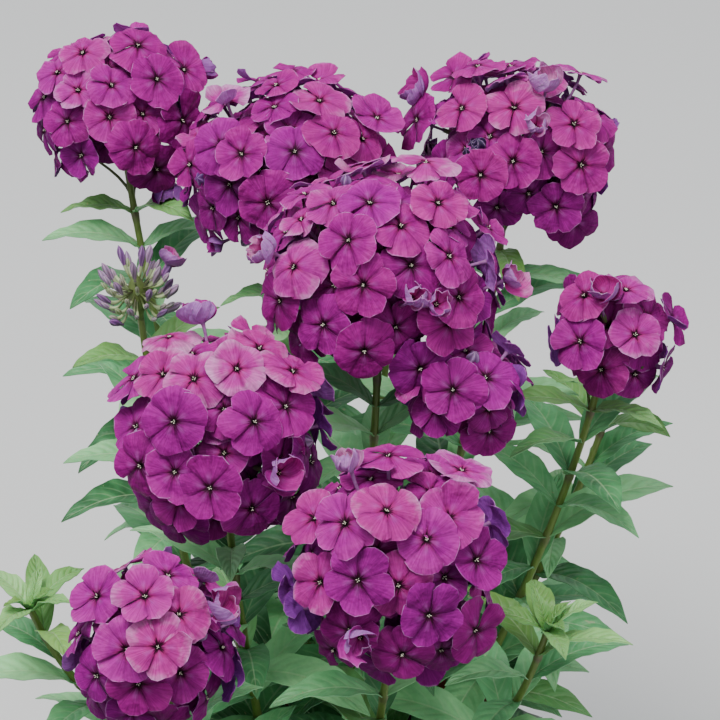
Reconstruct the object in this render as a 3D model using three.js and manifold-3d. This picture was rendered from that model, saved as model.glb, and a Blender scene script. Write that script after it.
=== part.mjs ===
// A garden phlox grown in a plain clay pot: eight domed flower heads and one head in bud, each on its own
// leafy stem, and four leafy shoots that carry no flowers. The first head has a side branch with a small
// dome of its own. Millimetres, +Z up. The origin is the middle of the pot's underside.
import * as THREE from "three";
import { mergeVertices } from "three/addons/utils/BufferGeometryUtils.js";
import Module from "manifold-3d";

const wasm = await Module();
wasm.setup();

// ---- driving dimensions ----

const seatGap = 0.3; // left between pieces that rest on each other

const pot = {
  height: 205,
  footRadius: 86,
  rimRadius: 118, // outside the band
  edge: 3, // the foot's and the rim's edges are bevelled by this
  bandHeight: 34,
  bandDepth: 5,
  wall: 8,
  floor: 12,
  sides: 24,
  drains: 3,
  drainRadius: 6,
  drainRing: 44,
};

const soil = {
  level: 178, // at the wall
  mound: 9, // higher in the middle
  rings: [[0.68, 0.5], [0.34, 0.85]], // share of the radius, share of the mound
  lump: 2.2,
  lumpReach: 8.3,
  holeRadius: 3.3, // round a stem's foot
  holeTop: 24, // a hole's cutter reaches this far above the level
};

const stem = {
  footRadius: 2.8,
  topRadius: 2.3,
  sides: 4,
  steps: 5,
  buried: 30,
  lean: 1.35, // at the soil, against the straight way to its end
};

const leaf = {
  widthShare: 0.27, // widest part against the length
  foldDegrees: 13, // each half rises from the midrib
  droopDegrees: 62, // how far the midrib turns down from root to tip
  rootDepth: 1.2, // the root starts this far past the stem's axis
  wave: 1.1, // edge raised and lowered by turns
  stations: [0.2, 0.46, 0.76], // along the midrib
  halfWidths: [0.74, 1, 0.63], // of half the widest part, at the stations
  thicknesses: [2.4, 1.6, 1.2], // at the midrib, thinning to the edge
  upperShare: 0.4, // of the thickness, above the midrib's line
};

const floret = {
  radius: 18.5, // a little larger than life, so that fewer of them cover the head
  notchShare: 0.72, // of the radius, between two petals
  shortSide: 0.97, // of the radius, at the petal's other corner
  petalHalfAngle: 22, // of the blunt outer end
  reflex: 1.4, // petal ends bend back
  throat: 1.2, // the middle dips
  depth: 4.2, // from the face to the neck of the tube
  neckRadius: 1.7,
  rootRadius: 1.3,
  rootShare: 0.32, // of the way from the head's middle to the flower
  rootDrop: 0.1, // of the half height
  areaEach: 1140, // of the head's surface
};

const head = {
  leanShare: 0.55, // of its stem's lean
  coverDegrees: 118, // florets reach this far round from the top
  coreShare: 0.6, // of the head's own radii
  coreCorners: [[0.8, -0.62], [1, 0], [0.8, 0.6]], // share of the core's radius, share of its half height
  coreSides: 6,
  seatRadius: 3.4,
  branchRadius: 4, // of the side branch
  faceUp: 0.22, // florets turn a little to the light
};
// Where a floret is tried, in turn: how far it is sunk below the head's surface, and how much it tilts its
// own way.
const floretPlaces = [0.2, 0.05].flatMap((tilt) => [0, 4, 8, 12, 15].map((sunk) => ({ sunk, tilt })));

const bud = {
  count: 22,
  length: 15,
  radius: 2.6, // at the widest, which is bellyShare of the length below the surface
  bellyShare: 0.35,
  tipShare: 0.72, // of the length, from the widest part on
  rootRadius: 0.9,
  rootShare: 0.3, // of the way from the middle
  upturn: 0.5, // buds stand more upright than the surface they grow from
  upturnSpread: 0.2,
};

// Flowering stems: foot in the soil, middle of the head, the head's radius across and half height.
// firstTurn is the compass angle of the lowest pair of leaves. side is a lower branch's own small dome.
const floweringStems = [
  {
    name: "01", foot: [6, -8], centre: [27, -6, 540], radius: 66, halfHeight: 62,
    pairs: 6, firstTurn: 20, side: { offset: [47, -36, -50], radius: 36, halfHeight: 32 },
  },
  {
    name: "02", foot: [-14, 30], centre: [-28, 134, 532], radius: 62, halfHeight: 55,
    pairs: 6, firstTurn: 75,
  },
  {
    name: "03", foot: [34, 44], centre: [106, 150, 534], radius: 59, halfHeight: 53,
    pairs: 6, firstTurn: 10,
  },
  {
    name: "04", foot: [-44, 48], centre: [-131, 198, 534], radius: 50, halfHeight: 50,
    pairs: 6, firstTurn: 50,
  },
  {
    name: "05", foot: [-36, -20], centre: [-60, -88, 486], radius: 55, halfHeight: 58,
    pairs: 5, firstTurn: 65,
  },
  {
    name: "06", foot: [12, -42], centre: [34, -160, 450], radius: 56, halfHeight: 64,
    pairs: 4, firstTurn: 30,
  },
  {
    name: "07", foot: [-36, -58], centre: [-92, -192, 425], radius: 45, halfHeight: 50,
    pairs: 4, firstTurn: 80,
  },
  {
    name: "08", foot: [58, 8], centre: [158, 28, 478], radius: 37, halfHeight: 37,
    pairs: 5, firstTurn: 15,
  },
];

const buddingStem = {
  name: "09", foot: [-60, 10], centre: [-114, 72, 478], radius: 22, halfHeight: 26,
  pairs: 5, firstTurn: 40,
};

// Flowerless shoots: foot and tip.
const shoots = [
  { name: "01", foot: [50, -36], tip: [118, -112, 372], pairs: 4, firstTurn: 60 },
  { name: "02", foot: [-66, -22], tip: [-168, -92, 372], pairs: 4, firstTurn: 15 },
  { name: "03", foot: [62, 36], tip: [166, 96, 392], pairs: 4, firstTurn: 45 },
  { name: "04", foot: [0, 66], tip: [34, 176, 404], pairs: 4, firstTurn: 5 },
];

const leafPlan = {
  lowestShare: 0.3, // of the way up the stem
  highestShare: 0.9,
  lowLength: 96,
  topLength: 62,
  lowRise: 24, // degrees above level at the root
  topRise: 50,
  turnSpread: 9, // a leaf's own share of these is drawn by chance
  riseSpread: 7,
  lengthSpread: 0.08,
  headMargin: 7, // leaves keep this clear of a flower head
  rimMargin: 5, // and this above the pot's rim
  trialExtra: 2, // a leaf is tried this much thicker, so that it keeps clear of its neighbours
};
// How a leaf is bent clear of what it would cross, mildest first: degrees round the stem, degrees up, share
// of its length.
const leafBends = [1, 0.86, 0.72, 0.58].flatMap((share) =>
  [0, 14, -14, 28, -28, 42, -42].flatMap((turn) => [0, 16, -16, 30].map((rise) => ({ turn, rise, share }))),
);

// ---- helpers ----

const radians = THREE.MathUtils.degToRad;
const { lerp } = THREE.MathUtils;
const goldenAngle = Math.PI * (3 - Math.sqrt(5));
const up = new THREE.Vector3(0, 0, 1);

// A repeatable number from 0 to 1 for each whole number.
function chance(n) {
  const x = Math.sin(n * 12.9898 + 4.1414) * 43758.5453;
  return x - Math.floor(x);
}

const spread = (n) => 2 * chance(n) - 1;

function indexed(points, faces) {
  const geometry = new THREE.BufferGeometry();
  geometry.setAttribute("position", new THREE.Float32BufferAttribute(points.flatMap((p) => p.toArray()), 3));
  geometry.setIndex(faces.flat());
  return geometry;
}

function solidOf(geometry) {
  geometry.deleteAttribute("normal");
  geometry.deleteAttribute("uv");
  const merged = mergeVertices(geometry, 1e-3);
  return new wasm.Manifold(
    new wasm.Mesh({
      numProp: 3,
      vertProperties: new Float32Array(merged.attributes.position.array),
      triVerts: new Uint32Array(merged.index.array),
    }),
  );
}

function geometryOf(solid) {
  const made = solid.getMesh();
  const geometry = new THREE.BufferGeometry();
  geometry.setAttribute("position", new THREE.BufferAttribute(new Float32Array(made.vertProperties), 3));
  geometry.setIndex(new THREE.BufferAttribute(new Uint32Array(made.triVerts), 1));
  return geometry;
}

const joined = (solids) => wasm.Manifold.union(solids);

// The ring of points round a centre, in the plane across a direction.
function ringAcross(centre, direction, radius, count, spin = 0) {
  const turn = new THREE.Quaternion().setFromUnitVectors(up, direction);
  return Array.from({ length: count }, (_, i) => {
    const angle = spin + (2 * Math.PI * i) / count;
    return new THREE.Vector3(Math.cos(angle) * radius, Math.sin(angle) * radius, 0)
      .applyQuaternion(turn)
      .add(centre);
  });
}

// A closed rod through rings of equal count, with flat ends.
function rodThrough(rings) {
  const count = rings[0].length;
  const faces = [];
  for (let i = 1; i < count - 1; i++) faces.push([0, i + 1, i]);
  for (let r = 0; r < rings.length - 1; r++) {
    for (let i = 0; i < count; i++) {
      const a = r * count + i;
      const b = r * count + ((i + 1) % count);
      faces.push([a, b, b + count], [a, b + count, a + count]);
    }
  }
  const last = (rings.length - 1) * count;
  for (let i = 1; i < count - 1; i++) faces.push([last, last + i, last + i + 1]);
  return solidOf(indexed(rings.flat(), faces));
}

// A profile of [radius, height] turned about Z.
function turned(profile, sides) {
  const geometry = new THREE.LatheGeometry(profile.map(([r, z]) => new THREE.Vector2(r, z)), sides);
  return geometry.rotateX(Math.PI / 2);
}

// ---- pot and soil ----

// The pot's outer radius below the band at a height.
const outerRadius = (z) =>
  pot.footRadius + ((pot.rimRadius - pot.bandDepth - pot.footRadius) * z) / (pot.height - pot.bandHeight);
const innerRadius = (z) => Math.min(outerRadius(z), pot.rimRadius - pot.bandDepth) - pot.wall;

function potSolid() {
  const bandFoot = pot.height - pot.bandHeight;
  const { edge } = pot;
  const body = solidOf(
    turned(
      [
        [0, 0],
        [pot.footRadius - edge, 0],
        [pot.footRadius, edge],
        [outerRadius(bandFoot), bandFoot],
        [pot.rimRadius, bandFoot + edge / 2],
        [pot.rimRadius, pot.height - edge],
        [pot.rimRadius - edge, pot.height],
        [innerRadius(pot.height) + edge, pot.height],
        [innerRadius(pot.height), pot.height - edge],
        [innerRadius(bandFoot), bandFoot],
        [innerRadius(pot.floor), pot.floor],
        [0, pot.floor],
      ],
      pot.sides,
    ),
  );
  const drains = Array.from({ length: pot.drains }, (_, i) => {
    const angle = (2 * Math.PI * (i + 0.25)) / pot.drains;
    const middle = new THREE.Vector3(Math.cos(angle), Math.sin(angle), 0).multiplyScalar(pot.drainRing);
    const below = middle.clone().setZ(-1);
    const above = middle.clone().setZ(pot.floor + 1);
    return rodThrough([below, above].map((p) => ringAcross(p, up, pot.drainRadius, 8)));
  });
  return body.subtract(joined(drains));
}

// Soil fills the pot to its level, mounded to the middle with low lumps.
function soilSolid(holes) {
  const fill = (z) => innerRadius(z) - seatGap;
  const bandFoot = pot.height - pot.bandHeight;
  const bottom = pot.floor + seatGap;
  const geometry = turned(
    [
      [0, bottom],
      [fill(bottom), bottom],
      [fill(bandFoot), bandFoot],
      [fill(soil.level), soil.level],
      ...soil.rings.map(([out, high]) => [fill(soil.level) * out, soil.level + soil.mound * high]),
      [0, soil.level + soil.mound],
    ],
    pot.sides,
  );
  const place = geometry.attributes.position;
  for (let i = 0; i < place.count; i++) {
    const [x, y, z] = [place.getX(i), place.getY(i), place.getZ(i)];
    const fromWall = fill(soil.level) - Math.hypot(x, y);
    if (z > soil.level - 1 && fromWall > 1) {
      place.setZ(i, z + soil.lump * Math.sin(x / soil.lumpReach + 1) * Math.cos(y / soil.lumpReach));
    }
  }
  return solidOf(geometry).subtract(joined(holes));
}

// ---- stems ----

// The line of a stem: it leaves the soil leaning outwards and turns up towards its end.
function stemLine(foot, end, endDirection) {
  const start = new THREE.Vector3(foot[0], foot[1], soil.level);
  const span = end.clone().sub(start);
  const leave = new THREE.Vector3(span.x * stem.lean, span.y * stem.lean, span.z).normalize();
  const reach = span.length() / 3;
  const curve = new THREE.CubicBezierCurve3(
    start,
    start.clone().addScaledVector(leave, reach),
    end.clone().addScaledVector(endDirection, -reach),
    end,
  );
  return { curve, start, leave };
}

// A square-sided stem whose flats face its leaves.
function stemSolid({ curve, start, leave }, firstTurn) {
  const spin = radians(firstTurn + 45);
  const ring = (centre, way, radius) => ringAcross(centre, way, radius, stem.sides, spin);
  const rings = [ring(start.clone().addScaledVector(leave, -stem.buried), leave, stem.footRadius)];
  for (let i = 0; i <= stem.steps; i++) {
    const share = i / stem.steps;
    const radius = lerp(stem.footRadius, stem.topRadius, share);
    rings.push(ring(curve.getPoint(share), curve.getTangent(share), radius));
  }
  return rodThrough(rings);
}

// The same form a little wider, for the stem's hole in the soil.
function soilHole({ start, leave }, firstTurn) {
  const spin = radians(firstTurn + 45);
  const ends = [-(stem.buried + seatGap), soil.holeTop].map((d) => start.clone().addScaledVector(leave, d));
  return rodThrough(ends.map((end) => ringAcross(end, leave, soil.holeRadius, stem.sides, spin)));
}

// The head's axis follows its stem's lean, but stands more upright.
function headAxis({ foot, centre }) {
  const [x, y] = [0, 1].map((k) => head.leanShare * (centre[k] - foot[k]));
  return new THREE.Vector3(x, y, centre[2] - soil.level).normalize();
}

// ---- leaves ----

// The points of a leaf's midrib and edges at its stations. The midrib is an arc that turns down evenly.
function leafPoints({ root, azimuth, rise, length }) {
  const outward = new THREE.Vector3(Math.cos(azimuth), Math.sin(azimuth), 0);
  const across = new THREE.Vector3(-Math.sin(azimuth), Math.cos(azimuth), 0);
  const droop = radians(leaf.droopDegrees);
  const at = (share) => {
    const angle = rise - droop * share;
    const along = (length * (Math.sin(rise) - Math.sin(angle))) / droop;
    const high = (length * (Math.cos(angle) - Math.cos(rise))) / droop;
    const middle = root.clone().addScaledVector(outward, along).addScaledVector(up, high);
    const normal = outward.clone().multiplyScalar(-Math.sin(angle)).addScaledVector(up, Math.cos(angle));
    return { middle, normal };
  };
  const fold = Math.tan(radians(leaf.foldDegrees));
  const stations = leaf.stations.map((share, i) => {
    const half = 0.5 * leaf.widthShare * length * leaf.halfWidths[i];
    const { middle, normal } = at(share);
    const edge = (side) =>
      middle
        .clone()
        .addScaledVector(across, side * half)
        .addScaledVector(normal, half * fold + leaf.wave * (i % 2 ? -side : side));
    const thickness = leaf.thicknesses[i];
    return { middle, normal, thickness, left: edge(1), right: edge(-1) };
  });
  const start = root.clone().addScaledVector(outward, -leaf.rootDepth);
  return { start, stations, tip: at(1).middle };
}

// A thin closed blade: two faces that share the edge, thickest at the midrib.
function leafSolid({ start, stations, tip }, extra = 0) {
  const rings = stations.map(({ middle, normal, thickness, left, right }) => [
    left,
    middle.clone().addScaledVector(normal, leaf.upperShare * (thickness + extra)),
    right,
    middle.clone().addScaledVector(normal, (leaf.upperShare - 1) * (thickness + extra)),
  ]);
  const faces = [];
  for (let r = 0; r < rings.length - 1; r++) {
    for (let i = 0; i < 4; i++) {
      const [a, b] = [4 * r + i, 4 * r + ((i + 1) % 4)];
      // Both faces of a half are split from the edge to the next midrib point.
      if (i % 2) faces.push([a, b, a + 4], [b, b + 4, a + 4]);
      else faces.push([a, b, b + 4], [a, b + 4, a + 4]);
    }
  }
  const last = 4 * (rings.length - 1);
  const [tipAt, startAt] = [last + 4, last + 5];
  for (let i = 0; i < 4; i++) {
    const next = (i + 1) % 4;
    faces.push([last + i, last + next, tipAt], [next, i, startAt]);
  }
  return solidOf(indexed([...rings.flat(), tip, start], faces));
}

// A leaf from its first station on, thickened, for trying it against the others on its stem.
function beyondRoot({ stations, tip }) {
  const start = stations[0].middle.clone().lerp(stations[1].middle, -0.25);
  return leafSolid({ start, stations, tip }, leafPlan.trialExtra);
}

// True if a point is inside a flower head's outer form, with the margin.
function insideHead(point, domes) {
  return domes.some(({ middle, turnBack, radius, halfHeight }) => {
    const p = point.clone().sub(middle).applyQuaternion(turnBack);
    const across = Math.hypot(p.x, p.y) / (radius + leafPlan.headMargin);
    return across ** 2 + (p.z / (halfHeight + leafPlan.headMargin)) ** 2 < 1;
  });
}

const boxesMeet = (a, b) => [0, 1, 2].every((k) => a.min[k] <= b.max[k] && b.min[k] <= a.max[k]);

function meets(solid, others) {
  const box = solid.boundingBox();
  return others.some((other) => boxesMeet(box, other.box) && solid.intersect(other.solid).volume() > 0);
}

const boxed = (solid) => ({ solid, box: solid.boundingBox() });

// Every leaf of a stem, in opposite pairs, each pair at right angles to the last. Each is bent clear of the
// heads, of the other stems and their leaves, and, beyond its root, of the leaves below it on its own stem.
function leavesOf(plan, line, seed, domes, others) {
  const leaves = [];
  const ownTrials = [];
  for (let pair = 0; pair < plan.pairs; pair++) {
    const height = pair / (plan.pairs - 1);
    const root = line.curve.getPoint(lerp(leafPlan.lowestShare, leafPlan.highestShare, height));
    for (const side of [0, 1]) {
      const n = seed + 10 * pair + side;
      const turn = plan.firstTurn + 90 * pair + 180 * side + leafPlan.turnSpread * spread(n);
      const rise = lerp(leafPlan.lowRise, leafPlan.topRise, height) + leafPlan.riseSpread * spread(n + 500);
      const fullLength = lerp(leafPlan.lowLength, leafPlan.topLength, height ** 1.5);
      const length = fullLength * (1 + leafPlan.lengthSpread * spread(n + 900));
      for (const bend of leafBends) {
        const points = leafPoints({
          root,
          azimuth: radians(turn + bend.turn),
          rise: radians(rise + bend.rise),
          length: length * bend.share,
        });
        const outline = [...points.stations.flatMap((s) => [s.left, s.middle, s.right]), points.tip];
        if (outline.some((p) => p.z < pot.height + leafPlan.rimMargin || insideHead(p, domes))) continue;
        const trial = beyondRoot(points);
        if (meets(trial, ownTrials) || meets(leafSolid(points, leafPlan.trialExtra), others)) continue;
        ownTrials.push(boxed(trial));
        leaves.push(leafSolid(points));
        break;
      }
    }
  }
  return leaves;
}

// ---- flower heads ----

// Points spaced evenly over a dome, on a spiral from the top down, each with the way it faces.
function spiralOver(radius, halfHeight, count) {
  const cover = 1 - Math.cos(radians(head.coverDegrees));
  return Array.from({ length: count }, (_, i) => {
    const down = Math.acos(1 - (cover * (i + 0.5)) / count);
    const round = i * goldenAngle;
    const point = new THREE.Vector3(
      radius * Math.sin(down) * Math.cos(round),
      radius * Math.sin(down) * Math.sin(round),
      halfHeight * Math.cos(down),
    );
    const facing = new THREE.Vector3(point.x / radius ** 2, point.y / radius ** 2, point.z / halfHeight ** 2)
      .normalize()
      .addScaledVector(up, head.faceUp)
      .normalize();
    return { point, facing };
  });
}

// One five-petalled flower: a lobed face, its back narrowing to a three-sided tube that runs to the root.
function floretSolid(point, facing, spin, root) {
  const turn = new THREE.Quaternion()
    .setFromUnitVectors(up, facing)
    .multiply(new THREE.Quaternion().setFromAxisAngle(up, spin));
  const place = (angle, radius, z) =>
    new THREE.Vector3(radius * Math.cos(angle), radius * Math.sin(angle), z).applyQuaternion(turn).add(point);
  const rim = [];
  for (let petal = 0; petal < 5; petal++) {
    const middle = (2 * Math.PI * petal) / 5;
    const half = radians(floret.petalHalfAngle);
    rim.push(place(middle - half, floret.radius, -floret.reflex));
    rim.push(place(middle + half, floret.radius * floret.shortSide, 0));
    rim.push(place(middle + Math.PI / 5, floret.radius * floret.notchShare, 0));
  }
  const neck = [0, 1, 2].map((i) => place((2 * Math.PI * (i + 0.5)) / 3, floret.neckRadius, -floret.depth));
  const along = point.clone().sub(root).normalize();
  const twist = new THREE.Quaternion().setFromUnitVectors(facing, along);
  const rootRing = neck.map((p) =>
    p
      .clone()
      .sub(place(0, 0, -floret.depth))
      .multiplyScalar(floret.rootRadius / floret.neckRadius)
      .applyQuaternion(twist)
      .add(root),
  );
  const points = [...rim, ...neck, ...rootRing, place(0, 0, -floret.throat)];
  const [neckAt, rootAt, centre] = [15, 18, 21];
  const faces = [[rootAt, rootAt + 2, rootAt + 1]];
  for (let i = 0; i < 15; i++) {
    const next = (i + 1) % 15;
    const third = Math.floor(i / 5);
    faces.push([centre, i, next], [neckAt + third, next, i]);
    if (i % 5 === 4) faces.push([neckAt + third, neckAt + ((third + 1) % 3), next]);
  }
  for (let i = 0; i < 3; i++) {
    const next = (i + 1) % 3;
    faces.push([neckAt + i, rootAt + i, rootAt + next], [neckAt + i, rootAt + next, neckAt + next]);
  }
  return solidOf(indexed(points, faces));
}

function coreSolid(radius, halfHeight) {
  const [r, h] = [radius * head.coreShare, halfHeight * head.coreShare];
  const corners = head.coreCorners.map(([out, high]) => [out * r, high * h]);
  return solidOf(turned([[0, -h], [head.seatRadius, -h], ...corners, [0, h]], head.coreSides));
}

const insideDome = (p, radius, halfHeight, share) =>
  (Math.hypot(p.x, p.y) / radius) ** 2 + (p.z / halfHeight) ** 2 < share ** 2;

// The florets of one dome, with their tubes sunk in the core. Each stands as far out as its neighbours allow.
function domeFlorets(radius, halfHeight, seed, keep) {
  const area = 2 * Math.PI * radius * halfHeight * (1 - Math.cos(radians(head.coverDegrees)));
  const made = [];
  spiralOver(radius, halfHeight, Math.round(area / floret.areaEach)).forEach(({ point, facing }, i) => {
    if (!keep(point)) return;
    const spin = chance(seed + i + 50) * 2 * Math.PI;
    const sway = new THREE.Vector3(spread(seed + i), spread(seed + i + 300), spread(seed + i + 600));
    const root = point.clone().multiplyScalar(floret.rootShare);
    root.z -= floret.rootDrop * halfHeight;
    const solidAt = ({ sunk, tilt }) => {
      const face = facing.clone().addScaledVector(sway, tilt).normalize();
      return floretSolid(point.clone().addScaledVector(facing, -sunk), face, spin, root);
    };
    const clear = floretPlaces.map(solidAt).find((solid) => !meets(solid, made));
    made.push(boxed(clear ?? solidAt(floretPlaces[0])));
  });
  return made.map(({ solid }) => solid);
}

// A flower head about its own middle, its axis along Z, with a side branch's dome where it has one.
function flowerHead(plan, seed) {
  const { radius, halfHeight } = plan;
  const core = coreSolid(radius, halfHeight);
  if (!plan.side) return joined([core, ...domeFlorets(radius, halfHeight, seed, () => true)]);
  const { side } = plan;
  const offset = new THREE.Vector3(...side.offset);
  const inSide = (p) => insideDome(p.clone().sub(offset), side.radius, side.halfHeight, 0.9);
  const inMain = (p) => insideDome(p.clone().add(offset), radius, halfHeight, 1);
  const branchWay = offset.clone().normalize();
  const branchEnds = [new THREE.Vector3(), offset];
  const sideSolids = [
    coreSolid(side.radius, side.halfHeight),
    ...domeFlorets(side.radius, side.halfHeight, seed + 70, (p) => !inMain(p)),
  ];
  return joined([
    core,
    ...domeFlorets(radius, halfHeight, seed, (p) => !inSide(p)),
    rodThrough(branchEnds.map((end) => ringAcross(end, branchWay, head.branchRadius, 4))),
    ...sideSolids.map((solid) => solid.translate(side.offset)),
  ]);
}

// A head still in bud: pointed buds standing all round a small core.
function budHead({ radius, halfHeight }, seed) {
  const buds = spiralOver(radius, halfHeight, bud.count).map(({ point, facing }, i) => {
    const upturn = bud.upturn + bud.upturnSpread * chance(seed + i);
    const way = facing.clone().addScaledVector(up, upturn).normalize();
    const root = point.clone().multiplyScalar(bud.rootShare);
    const middle = point.clone().addScaledVector(way, -bud.bellyShare * bud.length);
    const tip = middle.clone().addScaledVector(way, bud.tipShare * bud.length);
    const wide = ringAcross(middle, way, bud.radius, 3);
    const narrow = ringAcross(root, middle.clone().sub(root).normalize(), bud.rootRadius, 3);
    const faces = [[0, 2, 1]];
    for (let k = 0; k < 3; k++) {
      const next = (k + 1) % 3;
      faces.push([k, next, 3 + next], [k, 3 + next, 3 + k], [3 + k, 3 + next, 6]);
    }
    return solidOf(indexed([...narrow, ...wide, tip], faces));
  });
  return joined([coreSolid(radius, halfHeight), ...buds]);
}

// ---- materials ----

const finish = (color, roughness) => new THREE.MeshStandardMaterial({ color, roughness, metalness: 0 });
const clay = finish(0xb4683f, 0.85);
const compost = finish(0x33261b, 0.95);
const foliage = finish(0x4f7f45, 0.6);
const petals = finish(0xa53a8d, 0.55);
const greenBuds = finish(0x9aa56a, 0.6);

// ---- the plant ----

const plant = new THREE.Group();

function addMesh(name, solid, material) {
  const mesh = new THREE.Mesh(geometryOf(solid), material);
  mesh.name = name;
  plant.add(mesh);
  return mesh;
}

const headed = [...floweringStems, buddingStem].map((plan) => {
  const axis = headAxis(plan);
  const middle = new THREE.Vector3(...plan.centre);
  const below = plan.halfHeight * head.coreShare + seatGap;
  const line = stemLine(plan.foot, middle.clone().addScaledVector(axis, -below), axis);
  return { plan, axis, middle, line, turn: new THREE.Quaternion().setFromUnitVectors(up, axis) };
});

const shootLines = shoots.map((plan) => {
  const tip = new THREE.Vector3(...plan.tip);
  const way = tip.clone().sub(new THREE.Vector3(...plan.foot, soil.level));
  way.z *= 2;
  return { plan, line: stemLine(plan.foot, tip, way.normalize()) };
});

const domes = headed.flatMap(({ plan, middle, turn }) => {
  const turnBack = turn.clone().invert();
  const main = { middle, turnBack, radius: plan.radius, halfHeight: plan.halfHeight };
  if (!plan.side) return [main];
  const sideMiddle = new THREE.Vector3(...plan.side.offset).applyQuaternion(turn).add(middle);
  return [main, { middle: sideMiddle, turnBack, radius: plan.side.radius, halfHeight: plan.side.halfHeight }];
});

addMesh("pot", potSolid(), clay);
const grown = [...headed, ...shootLines];
addMesh("soil", soilSolid(grown.map(({ line, plan }) => soilHole(line, plan.firstTurn))), compost);

headed.forEach(({ plan, middle, turn }, i) => {
  const inBud = plan === buddingStem;
  const solid = inBud ? budHead(plan, 40) : flowerHead(plan, 1000 * (i + 1));
  const mesh = addMesh((inBud ? "bud_head_" : "flower_head_") + plan.name, solid, inBud ? greenBuds : petals);
  mesh.position.copy(middle);
  mesh.quaternion.copy(turn);
});

const leafyStems = grown.map(({ line, plan }) => [stemSolid(line, plan.firstTurn)]);
grown.forEach(({ plan, line }, i) => {
  const others = leafyStems.filter((solids, k) => k !== i).flatMap((solids) => solids.map(boxed));
  leafyStems[i].push(...leavesOf(plan, line, 100 * (i + 1), domes, others));
  const name = (shoots.includes(plan) ? "leafy_shoot_" : "leafy_stem_") + plan.name;
  addMesh(name, joined(leafyStems[i]), foliage);
});

export default plant;
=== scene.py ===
# A garden phlox in a plain clay pot: eight domed flower heads and one head in bud, on leafy stems.
# Shapes are worked out in millimetres, and each mesh is turned to metres as it is made.
from math import cos, pi, radians, sin, tan

import bpy
import numpy as np
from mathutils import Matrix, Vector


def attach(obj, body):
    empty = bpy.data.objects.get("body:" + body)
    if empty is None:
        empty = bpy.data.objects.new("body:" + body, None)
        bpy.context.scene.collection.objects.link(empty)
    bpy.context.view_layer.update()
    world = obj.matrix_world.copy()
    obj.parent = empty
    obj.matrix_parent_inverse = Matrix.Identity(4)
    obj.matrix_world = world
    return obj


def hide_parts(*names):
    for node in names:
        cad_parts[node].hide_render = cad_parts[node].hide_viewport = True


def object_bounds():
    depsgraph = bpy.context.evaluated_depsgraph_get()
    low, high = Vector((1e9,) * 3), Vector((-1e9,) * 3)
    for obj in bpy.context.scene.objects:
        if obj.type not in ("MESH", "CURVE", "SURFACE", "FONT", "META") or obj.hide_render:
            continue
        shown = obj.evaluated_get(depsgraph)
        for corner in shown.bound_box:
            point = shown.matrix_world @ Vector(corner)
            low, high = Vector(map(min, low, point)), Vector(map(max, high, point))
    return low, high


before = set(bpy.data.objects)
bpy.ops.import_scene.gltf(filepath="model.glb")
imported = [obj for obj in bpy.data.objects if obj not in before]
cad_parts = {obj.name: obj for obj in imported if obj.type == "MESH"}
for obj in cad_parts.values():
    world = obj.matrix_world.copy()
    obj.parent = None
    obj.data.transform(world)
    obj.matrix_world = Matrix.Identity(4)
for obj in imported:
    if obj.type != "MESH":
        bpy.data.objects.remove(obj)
cadLow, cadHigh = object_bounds()
print("frame loaded:", len(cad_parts), "nodes")

toMetres = 0.001
goldenAngle = pi * (3 - 5 ** 0.5)
upWay = np.array([0.0, 0.0, 1.0])


# The camera comes first, because florets are placed along its lines of sight.
view = {
    "target": np.array([15.0, -35.0, 500.0]),
    "distance": 1900,
    "lookDownDegrees": 32,
    "lens": 172.7,
    "sensor": 36,
    "pixels": 720,
}
lookDown = radians(view["lookDownDegrees"])
lookWay = np.array([0, cos(lookDown), -sin(lookDown)])
viewUp = np.array([0, sin(lookDown), cos(lookDown)])
viewRight = np.array([1.0, 0.0, 0.0])
cameraPlace = view["target"] - view["distance"] * lookWay


def makeCamera():
    data = bpy.data.cameras.new("camera")
    data.lens = view["lens"]
    data.sensor_width = view["sensor"]
    data.clip_start = 0.05
    data.clip_end = 100
    camera = bpy.data.objects.new("camera", data)
    camera.location = cameraPlace * toMetres
    camera.rotation_euler = (pi / 2 - lookDown, 0, 0)
    bpy.context.scene.collection.objects.link(camera)
    bpy.context.scene.camera = camera


# The way of the line of sight through each pixel: look + a (x - c) / c right + a (c - y) / c up, where c is
# half the view and a is half the sensor over the lens.
def sightWays(pixels):
    half = view["pixels"] / 2
    reach = view["sensor"] / 2 / view["lens"]
    across, down = (np.array(pixels, float).T - half) / half * reach
    return lookWay + across[:, None] * viewRight - down[:, None] * viewUp


makeCamera()
print("camera made")


# Each vector over its own length.
def unit(vectors):
    return vectors / np.linalg.norm(vectors, axis=-1, keepdims=True)


# A repeatable number from 0 to 1 for each whole number: the fraction of 43758.5453 sin(12.9898 n + 4.1414).
def chance(n):
    x = np.sin(n * 12.9898 + 4.1414) * 43758.5453
    return x - np.floor(x)


def spread(n):
    return 2 * chance(n) - 1


def smoothStep(x):
    x = np.clip(x, 0, 1)
    return x * x * (3 - 2 * x)


# The least turn that takes Z to an axis: I + K + K^2 / (1 + z), where K is the cross product with Z x axis.
def turnTo(axis):
    x, y = -axis[1], axis[0]
    k = np.array([[0, 0, y], [0, 0, -x], [-y, x, 0]])
    return np.eye(3) + k + k @ k / (1 + axis[2])


# Three axes square to each other for each way w: a, b = w x a and w itself, turned about w by the spin.
def axesFor(ways, spins):
    helper = np.eye(3)[np.argmin(np.abs(ways), axis=-1)]
    a = unit(np.cross(helper, ways))
    b = np.cross(ways, a)
    c, s = np.cos(spins)[..., None], np.sin(spins)[..., None]
    return np.stack([c * a + s * b, c * b - s * a, ways], axis=-2)


# A cubic curve: (1-t)^3 p0 + 3 t (1-t)^2 p1 + 3 t^2 (1-t) p2 + t^3 p3.
def cubic(controls, t):
    weights = np.stack([(1 - t) ** 3, 3 * t * (1 - t) ** 2, 3 * t * t * (1 - t), t ** 3])
    return np.einsum("ws,...wd->...sd", weights, controls)


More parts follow.
